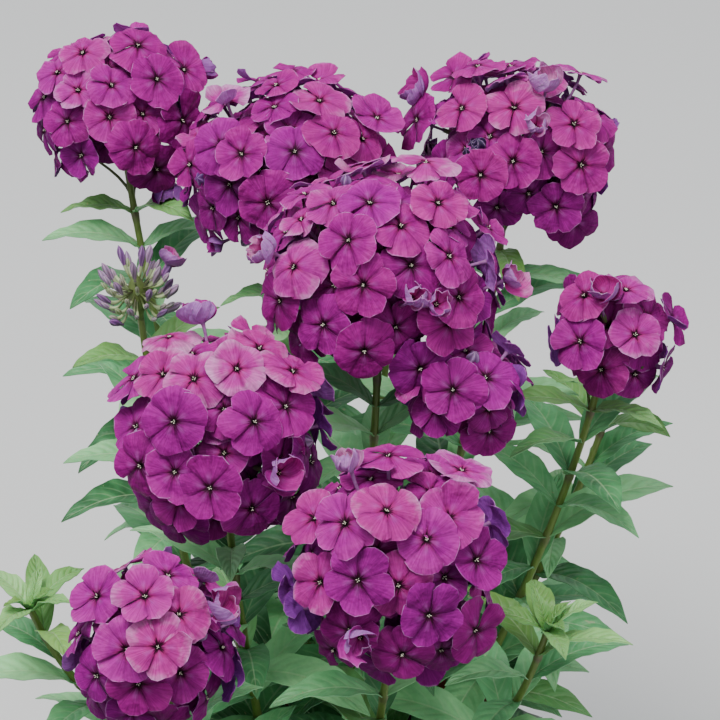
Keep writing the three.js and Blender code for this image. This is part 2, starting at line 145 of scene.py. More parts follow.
# The way of a cubic curve: its slope (1-t)^2 (p1-p0) + 2 t (1-t) (p2-p1) + t^2 (p3-p2), made one long.
def cubicWay(controls, t):
    weights = np.stack([(1 - t) ** 2, 2 * t * (1 - t), t * t])
    steps = np.diff(controls, axis=-2)
    return unit(np.einsum("ws,...wd->...sd", weights, steps))


# Closed rods: ring s of a rod is m(s) + r (cos q a + sin q b) + reach w(s), with a and b square to the way w.
# middles and ways are (rods, rings, 3); radii and reaches may be given for each rod, ring and side.
def rods(middles, ways, radii, sides, reaches=0.0, marks=None, spin=0.0):
    count, rings, _ = middles.shape
    ways = np.broadcast_to(ways, middles.shape)
    helper = np.eye(3)[np.argmin(np.abs(ways.mean(axis=1)), axis=-1)][:, None, :]
    a = unit(np.cross(helper, ways))
    b = np.cross(ways, a)
    angle = spin + 2 * pi * np.arange(sides) / sides
    radii = np.broadcast_to(radii, (count, rings, sides))[..., None]
    reaches = np.broadcast_to(reaches, (count, rings, sides))[..., None]
    around = np.cos(angle)[:, None] * a[:, :, None] + np.sin(angle)[:, None] * b[:, :, None]
    points = middles[:, :, None] + radii * around + reaches * ways[:, :, None]
    index = np.arange(rings * sides).reshape(rings, sides)
    after = np.roll(index, -1, axis=1)
    walls = np.stack([index[:-1], after[:-1], after[1:], index[1:]], axis=-1).reshape(-1, 4)
    starts = rings * sides * np.arange(count)[:, None, None]
    ends = np.stack([index[0, ::-1], index[-1]])
    made = {
        "points": points.reshape(-1, 3),
        "faces": [(walls + starts).reshape(-1, 4), (ends + starts).reshape(-1, sides)],
        "marks": {},
    }
    for mark, values in (marks or {}).items():
        made["marks"][mark] = np.broadcast_to(values, (count, rings, sides)).ravel()
    return made


# Closed thin sheets: each has an upper grid, the same grid lowered by its thickness along the surface's
# normal du x dv, and strips that join the two round the rim. top is (sheets, rows, columns, 3). Faces that lie
# over each other start at the same corner, so that both split along the same diagonal.
def closedSheets(top, thickness, marks):
    count, rows, columns, _ = top.shape
    normal = unit(np.cross(np.gradient(top, axis=1), np.gradient(top, axis=2)))
    bottom = top - normal * np.broadcast_to(thickness, top.shape[:3])[..., None]
    size = rows * columns
    index = np.arange(size).reshape(rows, columns)
    upper = np.stack([index[:-1, :-1], index[1:, :-1], index[1:, 1:], index[:-1, 1:]], axis=-1).reshape(-1, 4)
    rim = np.concatenate([index[:, 0], index[-1, 1:], index[-2::-1, -1], index[0, -2:0:-1]])
    after = np.roll(rim, -1)
    strip = np.stack([after, rim, rim + size, after + size], axis=-1)
    faces = np.concatenate([upper, upper[:, [0, 3, 2, 1]] + size, strip])
    starts = 2 * size * np.arange(count)[:, None, None]
    made = {
        "points": np.stack([top, bottom], axis=1).reshape(-1, 3),
        "faces": [(faces + starts).reshape(-1, 4)],
        "marks": {},
    }
    for mark, values in marks.items():
        both = np.broadcast_to(values[:, None], (count, 2, rows, columns))
        made["marks"][mark] = both.ravel()
    under = np.zeros((count, 2, rows, columns))
    under[:, 1] = 1
    made["marks"]["under"] = under.ravel()
    return made


# One object from parts, each with points in millimetres, arrays of faces and its marks, which become point
# attributes for the materials.
def makePiece(name, parts, material, nodes=(), sharpDegrees=55):
    points = np.concatenate([part["points"] for part in parts])
    starts = np.cumsum([0] + [len(part["points"]) for part in parts])
    faces = [face + start for part, start in zip(parts, starts) for face in part["faces"]]
    corners = np.concatenate([face.ravel() for face in faces])
    sizes = np.concatenate([np.full(len(face), face.shape[1]) for face in faces])
    mesh = bpy.data.meshes.new(name)
    mesh.vertices.add(len(points))
    mesh.vertices.foreach_set("co", (points * toMetres).astype(np.float32).ravel())
    mesh.loops.add(len(corners))
    mesh.loops.foreach_set("vertex_index", corners.astype(np.int32))
    mesh.polygons.add(len(sizes))
    mesh.polygons.foreach_set("loop_start", (np.cumsum(sizes) - sizes).astype(np.int32))
    mesh.update(calc_edges=True)
    for mark in sorted({mark for part in parts for mark in part["marks"]}):
        layer = mesh.attributes.new(mark, "FLOAT", "POINT")
        values = [part["marks"].get(mark, np.zeros(len(part["points"]))) for part in parts]
        layer.data.foreach_set("value", np.concatenate(values).astype(np.float32))
    mesh.shade_smooth()
    mesh.set_sharp_from_angle(angle=radians(sharpDegrees))
    mesh.materials.append(material)
    piece = bpy.data.objects.new(name, mesh)
    bpy.context.scene.collection.objects.link(piece)
    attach(piece, "root")
    if nodes:
        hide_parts(*nodes)
    return piece


# An sRGB hex value as a linear colour: ((c + 0.055) / 1.055)^2.4, or c / 12.92 in the darks.
def colour(hexValue):
    channels = [int(hexValue[i : i + 2], 16) / 255 for i in (1, 3, 5)]
    linear = [c / 12.92 if c <= 0.04045 else ((c + 0.055) / 1.055) ** 2.4 for c in channels]
    return (*linear, 1.0)


# Adds a node. inputs holds numbers, colours or the sockets that feed it; the rest are its own settings.
def addNode(tree, kind, inputs=None, **settings):
    node = tree.nodes.new(kind)
    for name, value in settings.items():
        setattr(node, name, value)
    for name, value in (inputs or {}).items():
        if isinstance(value, bpy.types.NodeSocket):
            tree.links.new(value, node.inputs[name])
        else:
            node.inputs[name].default_value = value
    return node


def newMaterial(name):
    material = bpy.data.materials.new(name)
    material.use_nodes = True
    tree = material.node_tree
    tree.nodes.clear()
    return material, tree


# The shader and the output, with its bump where it has one.
def finishMaterial(tree, baseColour, bump=None, **values):
    inputs = {"Base Color": baseColour}
    if bump:
        inputs["Normal"] = bump.outputs["Normal"]
    shader = addNode(tree, "ShaderNodeBsdfPrincipled", inputs)
    for name, value in values.items():
        shader.inputs[name].default_value = value
    addNode(tree, "ShaderNodeOutputMaterial", {"Surface": shader.outputs["BSDF"]})


# Living petal tissue: thin, matt and full of sap, so light soaks into it. Purple-magenta, painted paler and
# pinker on florets that face up and stand high, as if in full light, with fine veins from the eye, a near-black
# star round the throat, painted shade at the seams, a painted lilac sheen at each petal's foot and a thin pale
# rim that is a painted highlight. The backs are lilac.
petalFinish = {
    "deep": "#84096E",
    "bright": "#A01486",
    "pink": "#BC3399",
    # the palest end of the tone stands for sheen on florets in painted light
    "pale": "#DB8DC4",
    # backs and flares follow the floret's tone, which is partly painted light
    "backs": ("#84389A", "#BE84C6"),  # of the darkest and the palest florets
    # painted highlight: the thin pale rim
    "rim": "#E0A6DC",
    # painted highlight: a lilac sheen up the middle of each petal's foot
    "paintedSheen": "#C86AC2",
    "eye": "#30051F",
    "flares": ("#4A0636", "#BC2874"),  # of the darkest and the palest florets
    "veins": 11,  # across a petal
    "veinDepth": 0.00014,
    "crumple": 0.0035,  # metres of soft hills and hollows between the veins
    # painted shade: the seams near the eye are darkened as if shaded
    "seamPaintedShade": 0.5,  # how dark a petal is where it meets the next, near the eye
    # the hue leans to rose with the tone, so florets in painted light are painted warmer
    "hueSway": 0.04,  # from florets that lean to violet to those that lean to rose
}


def petalMaterial():
    material, tree = newMaterial("phlox petal")
    finish = petalFinish
    marks = {
        name: addNode(tree, "ShaderNodeAttribute", attribute_name=name).outputs["Fac"]
        for name in ("ray", "across", "tone", "under", "edge", "own", "warm")
    }
    side = addNode(tree, "ShaderNodeMath", {0: marks["across"], 1: 1.7}, operation="MULTIPLY").outputs[0]
    shift = addNode(tree, "ShaderNodeMath", {0: marks["own"], 1: 37.0}, operation="MULTIPLY").outputs[0]
    place = addNode(tree, "ShaderNodeCombineXYZ", {0: side, 1: shift, 2: marks["ray"]}).outputs[0]
    streaks = addNode(tree, "ShaderNodeTexNoise", {"Vector": place, "Scale": 2.6, "Detail": 1.0})
    veinScale = finish["veins"] / 2 / 1.7
    stretched = addNode(
        tree, "ShaderNodeVectorMath", {0: place, 1: (veinScale, 1.0, 0.9)}, operation="MULTIPLY"
    ).outputs[0]
    veins = addNode(tree, "ShaderNodeTexNoise", {"Vector": stretched, "Scale": 2.0, "Detail": 3.0})
    coordinates = addNode(tree, "ShaderNodeTexCoord")
    patches = addNode(
        tree, "ShaderNodeTexNoise", {"Vector": coordinates.outputs["Object"], "Scale": 1 / 0.006, "Detail": 2.0}
    )

    # colour of the face, from deep through bright and pink to pale by the petal's tone, which is partly painted light:
    # the pale end stands for sheen on florets that face up
    patchShift = addNode(
        tree, "ShaderNodeMath", {0: patches.outputs["Fac"], 1: 0.45, 2: -0.225}, operation="MULTIPLY_ADD"
    ).outputs[0]
    toned = addNode(tree, "ShaderNodeMath", {0: marks["tone"], 1: patchShift}, operation="ADD").outputs[0]
    outward = addNode(
        tree, "ShaderNodeMath", {0: marks["ray"], 1: 0.44, 2: -0.26}, operation="MULTIPLY_ADD"
    ).outputs[0]
    brightened = addNode(tree, "ShaderNodeMath", {0: toned, 1: outward}, operation="ADD").outputs[0]
    ramp = addNode(tree, "ShaderNodeValToRGB", {"Fac": brightened})
    stops = ramp.color_ramp.elements
    stops[0].position, stops[0].color = 0.02, colour(finish["deep"])
    stops[1].position, stops[1].color = 1.0, colour(finish["pale"])
    stops.new(0.4).color = colour(finish["bright"])
    stops.new(0.74).color = colour(finish["pink"])
    # the hue follows the warm mark, which is partly painted light
    hue = addNode(
        tree, "ShaderNodeMath", {0: marks["warm"], 1: finish["hueSway"], 2: 0.5 - finish["hueSway"] / 2},
        operation="MULTIPLY_ADD",
    ).outputs[0]
    face = addNode(tree, "ShaderNodeHueSaturation", {"Hue": hue, "Color": ramp.outputs["Color"]})
    veinShade = addNode(
        tree, "ShaderNodeMapRange",
        {"Value": veins.outputs["Fac"], "From Min": 0.3, "From Max": 0.7, "To Min": 0.72, "To Max": 1.2},
    ).outputs[0]
    veined = addNode(
        tree, "ShaderNodeMixRGB", {"Fac": 1.0, "Color1": face.outputs["Color"], "Color2": veinShade},
        blend_type="MULTIPLY",
    ).outputs[0]

    # painted shade: petals darken towards the seams between them near the eye, where overlap and arch would shade them
    out = addNode(tree, "ShaderNodeMath", {0: marks["across"]}, operation="ABSOLUTE").outputs[0]
    seam = addNode(
        tree, "ShaderNodeMapRange", {"Value": out, "From Min": 0.55, "From Max": 0.95},
        interpolation_type="SMOOTHSTEP",
    ).outputs[0]
    inward = addNode(
        tree, "ShaderNodeMapRange", {"Value": marks["ray"], "From Min": 0.2, "From Max": 0.85, "To Min": 1.0, "To Max": 0.25}
    ).outputs[0]
    seamHere = addNode(tree, "ShaderNodeMath", {0: seam, 1: inward}, operation="MULTIPLY").outputs[0]
    seamPaintedShade = addNode(
        tree, "ShaderNodeMapRange", {"Value": seamHere, "To Min": 1.0, "To Max": finish["seamPaintedShade"]}
    ).outputs[0]
    seamed = addNode(
        tree, "ShaderNodeMixRGB", {"Fac": 1.0, "Color1": veined, "Color2": seamPaintedShade}, blend_type="MULTIPLY"
    ).outputs[0]

    # painted highlight: a lilac sheen up the middle of each petal's foot
    middle = addNode(
        tree, "ShaderNodeMapRange", {"Value": out, "From Min": 0.05, "From Max": 0.5, "To Min": 0.42, "To Max": 0.0},
        interpolation_type="SMOOTHSTEP",
    ).outputs[0]
    foot = addNode(
        tree, "ShaderNodeMapRange", {"Value": marks["ray"], "From Min": 0.18, "From Max": 0.55, "To Min": 1.0, "To Max": 0.0},
        interpolation_type="SMOOTHSTEP",
    ).outputs[0]
    sheenWedge = addNode(tree, "ShaderNodeMath", {0: middle, 1: foot}, operation="MULTIPLY").outputs[0]
    sheened = addNode(
        tree, "ShaderNodeMixRGB", {"Fac": sheenWedge, "Color1": seamed, "Color2": colour(finish["paintedSheen"])}
    ).outputs[0]

    # the eye: how far its edge reaches varies from streak to streak, and is furthest along the seams
    streakReach = addNode(
        tree, "ShaderNodeMapRange",
        {"Value": streaks.outputs["Fac"], "From Min": 0.35, "From Max": 0.68, "To Min": 0.0, "To Max": 0.1},
    ).outputs[0]
    reach = addNode(
        tree, "ShaderNodeMath", {0: seam, 1: 0.07, 2: streakReach}, operation="MULTIPLY_ADD"
    ).outputs[0]
    within = addNode(tree, "ShaderNodeMath", {0: marks["ray"], 1: reach}, operation="SUBTRACT").outputs[0]
    flare = addNode(
        tree, "ShaderNodeMapRange",
        {"Value": within, "From Min": 0.1, "From Max": 0.36, "To Min": 0.62, "To Max": 0.0},
        interpolation_type="SMOOTHSTEP",
    ).outputs[0]
    eye = addNode(
        tree, "ShaderNodeMapRange",
        {"Value": within, "From Min": 0.04, "From Max": 0.18, "To Min": 1.0, "To Max": 0.0},
        interpolation_type="SMOOTHSTEP",
    ).outputs[0]
    # the flare's colour follows the tone, which is partly painted light
    darkFlare, paleFlare = (colour(value) for value in finish["flares"])
    flareTone = addNode(
        tree, "ShaderNodeMapRange", {"Value": marks["tone"], "From Min": 0.3, "From Max": 0.85}
    ).outputs[0]
    flareColour = addNode(
        tree, "ShaderNodeMixRGB", {"Fac": flareTone, "Color1": darkFlare, "Color2": paleFlare}
    ).outputs[0]
    flared = addNode(
        tree, "ShaderNodeMixRGB", {"Fac": flare, "Color1": sheened, "Color2": flareColour}
    ).outputs[0]
    eyed = addNode(
        tree, "ShaderNodeMixRGB", {"Fac": eye, "Color1": flared, "Color2": colour(finish["eye"])}
    ).outputs[0]

    # the lilac back, then the thin pale rim here and there, a painted highlight where light would catch the edge
    # the back's colour follows the tone too, so backs of florets in painted light are painted paler
    darkBack, paleBack = (colour(value) for value in finish["backs"])
    backTone = addNode(
        tree, "ShaderNodeMixRGB", {"Fac": marks["tone"], "Color1": darkBack, "Color2": paleBack}
    ).outputs[0]
    backColour = addNode(
        tree, "ShaderNodeMixRGB", {"Fac": 1.0, "Color1": backTone, "Color2": veinShade}, blend_type="MULTIPLY"
    ).outputs[0]
    sides = addNode(
        tree, "ShaderNodeMixRGB", {"Fac": marks["under"], "Color1": eyed, "Color2": backColour}
    ).outputs[0]
    rimHighlight = addNode(
        tree, "ShaderNodeMapRange", {"Value": marks["edge"], "From Min": 0.8, "From Max": 1.0, "To Max": 0.6}
    ).outputs[0]
    rimHighlightShare = addNode(
        tree, "ShaderNodeMapRange", {"Value": patches.outputs["Fac"], "From Min": 0.46, "From Max": 0.6}
    ).outputs[0]
    rim = addNode(tree, "ShaderNodeMath", {0: rimHighlight, 1: rimHighlightShare}, operation="MULTIPLY").outputs[0]
    both = addNode(
        tree, "ShaderNodeMixRGB", {"Fac": rim, "Color1": sides, "Color2": colour(finish["rim"])}
    ).outputs[0]
    crumpled = addNode(
        tree, "ShaderNodeMath",
        {0: patches.outputs["Fac"], 1: finish["crumple"] / finish["veinDepth"], 2: veins.outputs["Fac"]},
        operation="MULTIPLY_ADD",
    ).outputs[0]
    bump = addNode(tree, "ShaderNodeBump", {"Height": crumpled, "Strength": 0.6, "Distance": finish["veinDepth"]})
    finishMaterial(
        tree, both, bump,
        **{"Roughness": 0.6, "IOR": 1.42, "Specular IOR Level": 0.12, "Subsurface Weight": 0.4,
           "Subsurface Scale": 0.0016, "Subsurface Radius": (1.0, 0.3, 0.8)},
    )
    return material


# The corolla tube: the same tissue, rolled up. Plum outside, and near black down the throat: the eye's own dark
# colour, deepened into painted shade down the narrow tube.
def tubeMaterial():
    material, tree = newMaterial("phlox corolla tube")
    inner = addNode(tree, "ShaderNodeAttribute", attribute_name="inner").outputs["Fac"]
    coordinates = addNode(tree, "ShaderNodeTexCoord")
    grain = addNode(
        tree, "ShaderNodeTexNoise", {"Vector": coordinates.outputs["Object"], "Scale": 1 / 0.002}
    )
    outside = addNode(tree, "ShaderNodeValToRGB", {"Fac": grain.outputs["Fac"]})
    outside.color_ramp.elements[0].color = colour("#7A2A72")
    outside.color_ramp.elements[1].color = colour("#BE86BE")
    # painted shade: the inside of the tube is painted near black
    shaded = addNode(
        tree, "ShaderNodeMixRGB", {"Fac": inner, "Color1": outside.outputs[0], "Color2": colour("#10020A")}
    ).outputs[0]
    finishMaterial(
        tree, shaded,
        **{"Roughness": 0.6, "Specular IOR Level": 0.1, "Subsurface Weight": 0.1, "Subsurface Scale": 0.001},
    )
    return material


# Ripe pollen sacs: cream and powdery.
def antherMaterial():
    material, tree = newMaterial("anther with pollen")
    coordinates = addNode(tree, "ShaderNodeTexCoord")
    grain = addNode(
        tree, "ShaderNodeTexNoise", {"Vector": coordinates.outputs["Object"], "Scale": 1 / 0.0004}
    )
    shade = addNode(tree, "ShaderNodeValToRGB", {"Fac": grain.outputs["Fac"]})
    shade.color_ramp.elements[0].color = colour("#E3D7AE")
    shade.color_ramp.elements[1].color = colour("#FFFDF0")
    finishMaterial(tree, shade.outputs[0], **{"Roughness": 0.8})
    return material


# Young stalks and calyxes: thin skin over green flesh, flushed with purple towards the flowers, and nearly
# white where a calyx is young. The marks "flush" and "pale" say how far.
def stalkMaterial():
    material, tree = newMaterial("flower stalk")
    flush = addNode(tree, "ShaderNodeAttribute", attribute_name="flush").outputs["Fac"]
    coordinates = addNode(tree, "ShaderNodeTexCoord")
    grain = addNode(
        tree, "ShaderNodeTexNoise", {"Vector": coordinates.outputs["Object"], "Scale": 1 / 0.003}
    )
    green = addNode(tree, "ShaderNodeValToRGB", {"Fac": grain.outputs["Fac"]})
    green.color_ramp.elements[0].color = colour("#3F5A1E")
    green.color_ramp.elements[1].color = colour("#7E9A3E")
    purple = addNode(tree, "ShaderNodeValToRGB", {"Fac": grain.outputs["Fac"]})
    purple.color_ramp.elements[0].color = colour("#33172F")
    purple.color_ramp.elements[1].color = colour("#6A3A5C")
    mixed = addNode(
        tree, "ShaderNodeMixRGB", {"Fac": flush, "Color1": green.outputs[0], "Color2": purple.outputs[0]}
    ).outputs[0]
    pale = addNode(tree, "ShaderNodeAttribute", attribute_name="pale").outputs["Fac"]
    whitened = addNode(
        tree, "ShaderNodeMixRGB", {"Fac": pale, "Color1": mixed, "Color2": colour("#CBDBA6")}
    ).outputs[0]
    finishMaterial(tree, whitened, **{"Roughness": 0.5})
    return material


# Rolled flower buds: the same tissue as the petals, still pale. The mark "tint" goes from green-white at 0
# through lilac to dark violet at 1. Painted shade darkens the grooves between the ridges, and a painted
# highlight lies along the ridge tops.
def budMaterial():
    material, tree = newMaterial("phlox flower bud")
    tint = addNode(tree, "ShaderNodeAttribute", attribute_name="tint").outputs["Fac"]
    ridge = addNode(tree, "ShaderNodeAttribute", attribute_name="ridge").outputs["Fac"]
    ramp = addNode(tree, "ShaderNodeValToRGB", {"Fac": tint})
    stops = ramp.color_ramp.elements
    stops[0].color = colour("#A9C07C")
    stops[1].color = colour("#2B0E45")
    stops.new(0.3).color = colour("#B795B6")
    stops.new(0.6).color = colour("#74248C")
    # painted shade in the grooves between the ridges
    shade = addNode(
        tree, "ShaderNodeMapRange", {"Value": ridge, "From Min": -1.0, "From Max": 0.4, "To Min": 0.45, "To Max": 1.0}
    ).outputs[0]
    grooveShaded = addNode(
        tree, "ShaderNodeMixRGB", {"Fac": 1.0, "Color1": ramp.outputs[0], "Color2": shade}, blend_type="MULTIPLY"
    ).outputs[0]
    # painted highlight along the ridge tops
    edge = addNode(
        tree, "ShaderNodeMapRange", {"Value": ridge, "From Min": 0.6, "From Max": 1.0, "To Max": 0.5},
        interpolation_type="SMOOTHSTEP",
    ).outputs[0]
    shaded = addNode(
        tree, "ShaderNodeMixRGB", {"Fac": edge, "Color1": grooveShaded, "Color2": colour("#DDBBE2")}
    ).outputs[0]
    finishMaterial(tree, shaded, **{"Roughness": 0.5, "Subsurface Weight": 0.15, "Subsurface Scale": 0.001})
    return material


# Leaf blade: a waxy skin over green tissue, smooth with a soft gloss. The midrib is pale, side veins arch to
# the tip and press into the face, and each leaf has its own green. Backs are paler and duller.
leafFinish = {
    "dark": "#2B5E34",
    "mid": "#64B070",
    "light": "#A4E6A0",
    "young": "#8CB84C",  # leaves at a shoot's tip, still yellowish
    "back": "#9AD09E",
    "midrib": "#C3E0AE",
    "veins": 9,  # on each side of the midrib
    "veinSweep": 0.19,  # of the length, from the midrib to the edge
    "netSpacing": 0.0022,  # metres between the finest veins
}


def leafMaterial():
    material, tree = newMaterial("phlox leaf")
    finish = leafFinish
    marks = {
        name: addNode(tree, "ShaderNodeAttribute", attribute_name=name).outputs["Fac"]
        for name in ("along", "across", "tone", "young", "under")
    }
    out = addNode(tree, "ShaderNodeMath", {0: marks["across"]}, operation="ABSOLUTE").outputs[0]
    arch = addNode(tree, "ShaderNodeMath", {0: out, 1: 1.35}, operation="POWER").outputs[0]
    start = addNode(
        tree, "ShaderNodeMath", {0: arch, 1: -finish["veinSweep"], 2: marks["along"]}, operation="MULTIPLY_ADD"
    ).outputs[0]
    phase = addNode(
        tree, "ShaderNodeMath", {0: start, 1: 2 * pi * finish["veins"]}, operation="MULTIPLY"
    ).outputs[0]
    wave = addNode(tree, "ShaderNodeMath", {0: phase}, operation="COSINE").outputs[0]
    vein = addNode(
        tree, "ShaderNodeMapRange", {"Value": wave, "From Min": 0.62, "From Max": 1.0},
        interpolation_type="SMOOTHSTEP",
    ).outputs[0]
    fade = addNode(
        tree, "ShaderNodeMapRange", {"Value": out, "From Min": 0.45, "From Max": 0.95, "To Min": 1.0, "To Max": 0.0}
    ).outputs[0]
    veinHere = addNode(tree, "ShaderNodeMath", {0: vein, 1: fade}, operation="MULTIPLY").outputs[0]
    midrib = addNode(
        tree, "ShaderNodeMapRange", {"Value": out, "From Min": 0.02, "From Max": 0.075, "To Min": 1.0, "To Max": 0.0},
        interpolation_type="SMOOTHSTEP",
    ).outputs[0]

    coordinates = addNode(tree, "ShaderNodeTexCoord")
    patches = addNode(
        tree, "ShaderNodeTexNoise", {"Vector": coordinates.outputs["Object"], "Scale": 1 / 0.014, "Detail": 3.0}
    )
    patchShift = addNode(
        tree, "ShaderNodeMath", {0: patches.outputs["Fac"], 1: 0.6, 2: -0.3}, operation="MULTIPLY_ADD"
    ).outputs[0]
    toned = addNode(tree, "ShaderNodeMath", {0: marks["tone"], 1: patchShift}, operation="ADD").outputs[0]
    face = addNode(tree, "ShaderNodeValToRGB", {"Fac": toned})
    stops = face.color_ramp.elements
    stops[0].position, stops[0].color = 0.1, colour(finish["dark"])
    stops[1].position, stops[1].color = 0.95, colour(finish["light"])
    stops.new(0.5).color = colour(finish["mid"])
    aged = addNode(
        tree, "ShaderNodeMixRGB",
        {"Fac": marks["young"], "Color1": face.outputs["Color"], "Color2": colour(finish["young"])},
    ).outputs[0]
    veinColour = addNode(tree, "ShaderNodeMath", {0: veinHere, 1: 0.16}, operation="MULTIPLY").outputs[0]
    veined = addNode(
        tree, "ShaderNodeMixRGB", {"Fac": veinColour, "Color1": aged, "Color2": colour(finish["midrib"])}
    ).outputs[0]
    ribShare = addNode(tree, "ShaderNodeMath", {0: midrib, 1: 0.4}, operation="MULTIPLY").outputs[0]
    ribbed = addNode(
        tree, "ShaderNodeMixRGB", {"Fac": ribShare, "Color1": veined, "Color2": colour(finish["midrib"])}
    ).outputs[0]
    pale = addNode(tree, "ShaderNodeMath", {0: marks["under"], 1: 0.75}, operation="MULTIPLY").outputs[0]
    both = addNode(
        tree, "ShaderNodeMixRGB", {"Fac": pale, "Color1": ribbed, "Color2": colour(finish["back"])}
    ).outputs[0]

    # small specks where insects have fed
    specks = addNode(
        tree, "ShaderNodeTexNoise", {"Vector": coordinates.outputs["Object"], "Scale": 1 / 0.0045, "Detail": 1.0}
    )
    speck = addNode(
        tree, "ShaderNodeMapRange",
        {"Value": specks.outputs["Fac"], "From Min": 0.76, "From Max": 0.8, "To Max": 0.6},
    ).outputs[0]
    specked = addNode(
        tree, "ShaderNodeMixRGB", {"Fac": speck, "Color1": both, "Color2": colour("#B8B487")}
    ).outputs[0]

    # relief: pillows between the side veins, a sunken midrib and a fine net over all
    pillow = addNode(tree, "ShaderNodeMath", {0: wave, 1: fade}, operation="MULTIPLY").outputs[0]
    net = addNode(
        tree, "ShaderNodeTexVoronoi", {"Vector": coordinates.outputs["Object"], "Scale": 1 / finish["netSpacing"]},
        feature="SMOOTH_F1",
    )
    netted = addNode(
        tree, "ShaderNodeMath", {0: net.outputs["Distance"], 1: -0.5, 2: patches.outputs["Fac"]},
        operation="MULTIPLY_ADD",
    ).outputs[0]
    puffed = addNode(tree, "ShaderNodeMath", {0: pillow, 1: -0.45, 2: netted}, operation="MULTIPLY_ADD").outputs[0]
    height = addNode(tree, "ShaderNodeMath", {0: midrib, 1: -0.8, 2: puffed}, operation="MULTIPLY_ADD").outputs[0]
    bump = addNode(tree, "ShaderNodeBump", {"Height": height, "Strength": 0.75, "Distance": 0.0006})
    finishMaterial(
        tree, specked, bump,
        **{"Roughness": 0.46, "IOR": 1.45, "Subsurface Weight": 0.12, "Subsurface Scale": 0.001},
    )
    return material


# Stem skin: smooth olive green, a little purple at the joints and brown where it meets the soil.
def stemMaterial():
    material, tree = newMaterial("phlox stem")
    flush = addNode(tree, "ShaderNodeAttribute", attribute_name="flush").outputs["Fac"]
    old = addNode(tree, "ShaderNodeAttribute", attribute_name="old").outputs["Fac"]
    coordinates = addNode(tree, "ShaderNodeTexCoord")
    stretched = addNode(
        tree, "ShaderNodeMapping", {"Vector": coordinates.outputs["Object"], "Scale": (1.0, 1.0, 0.12)}
    )
    streaks = addNode(
        tree, "ShaderNodeTexNoise", {"Vector": stretched.outputs[0], "Scale": 1 / 0.0015, "Detail": 2.0}
    )
    green = addNode(tree, "ShaderNodeValToRGB", {"Fac": streaks.outputs["Fac"]})
    green.color_ramp.elements[0].color = colour("#587626")
    green.color_ramp.elements[1].color = colour("#93B052")
    flushed = addNode(
        tree, "ShaderNodeMixRGB", {"Fac": flush, "Color1": green.outputs[0], "Color2": colour("#5E3446")}
    ).outputs[0]
    aged = addNode(
        tree, "ShaderNodeMixRGB", {"Fac": old, "Color1": flushed, "Color2": colour("#6B5233")}
    ).outputs[0]
    bump = addNode(
        tree, "ShaderNodeBump", {"Height": streaks.outputs["Fac"], "Strength": 0.3, "Distance": 0.0002}
    )
    finishMaterial(tree, aged, bump, **{"Roughness": 0.45})
    return material


# Unglazed terracotta: thrown and fired, so fine rings run round it. Porous and matt, with pale lime bloom
# where water has dried out through the wall.
clayFinish = {
    "body": "#B5653C",
    "dark": "#8A4526",
    "bloom": "#D9B9A0",
    "ringSpacing": 0.0034,  # metres between throwing rings
    "grit": 0.0006,
}


def clayMaterial():
    material, tree = newMaterial("unglazed terracotta")
    finish = clayFinish
    coordinates = addNode(tree, "ShaderNodeTexCoord")
    place = coordinates.outputs["Object"]
    patches = addNode(tree, "ShaderNodeTexNoise", {"Vector": place, "Scale": 1 / 0.05, "Detail": 5.0})
    grit = addNode(tree, "ShaderNodeTexNoise", {"Vector": place, "Scale": 1 / finish["grit"], "Detail": 2.0})
    height = addNode(tree, "ShaderNodeSeparateXYZ", {0: place}).outputs[2]
    body = addNode(tree, "ShaderNodeValToRGB", {"Fac": patches.outputs["Fac"]})
    body.color_ramp.elements[0].position = 0.3
    body.color_ramp.elements[0].color = colour(finish["dark"])
    body.color_ramp.elements[1].position = 0.7
    body.color_ramp.elements[1].color = colour(finish["body"])
    low = addNode(
        tree, "ShaderNodeMapRange", {"Value": height, "From Min": 0.02, "From Max": 0.11, "To Min": 0.2, "To Max": 0.0}
    ).outputs[0]
    bloomAt = addNode(tree, "ShaderNodeMath", {0: patches.outputs["Fac"], 1: low}, operation="ADD").outputs[0]
    bloom = addNode(
        tree, "ShaderNodeMapRange", {"Value": bloomAt, "From Min": 0.55, "From Max": 0.85, "To Max": 0.6}
    ).outputs[0]
    bloomed = addNode(
        tree, "ShaderNodeMixRGB", {"Fac": bloom, "Color1": body.outputs[0], "Color2": colour(finish["bloom"])}
    ).outputs[0]
    gritShade = addNode(
        tree, "ShaderNodeMapRange", {"Value": grit.outputs["Fac"], "To Min": 0.82, "To Max": 1.15}
    ).outputs[0]
    shaded = addNode(
        tree, "ShaderNodeMixRGB", {"Fac": 1.0, "Color1": bloomed, "Color2": gritShade}, blend_type="MULTIPLY"
    ).outputs[0]
    drift = addNode(
        tree, "ShaderNodeMath", {0: patches.outputs["Fac"], 1: 0.004, 2: height}, operation="MULTIPLY_ADD"
    ).outputs[0]
    phase = addNode(
        tree, "ShaderNodeMath", {0: drift, 1: 2 * pi / finish["ringSpacing"]}, operation="MULTIPLY"
    ).outputs[0]
    rings = addNode(tree, "ShaderNodeMath", {0: phase}, operation="SINE").outputs[0]
    relief = addNode(
        tree, "ShaderNodeMath", {0: rings, 1: 0.25, 2: grit.outputs["Fac"]}, operation="MULTIPLY_ADD"
    ).outputs[0]
    bump = addNode(tree, "ShaderNodeBump", {"Height": relief, "Strength": 0.5, "Distance": 0.0005})
    finishMaterial(tree, shaded, bump, **{"Roughness": 0.88})
    return material


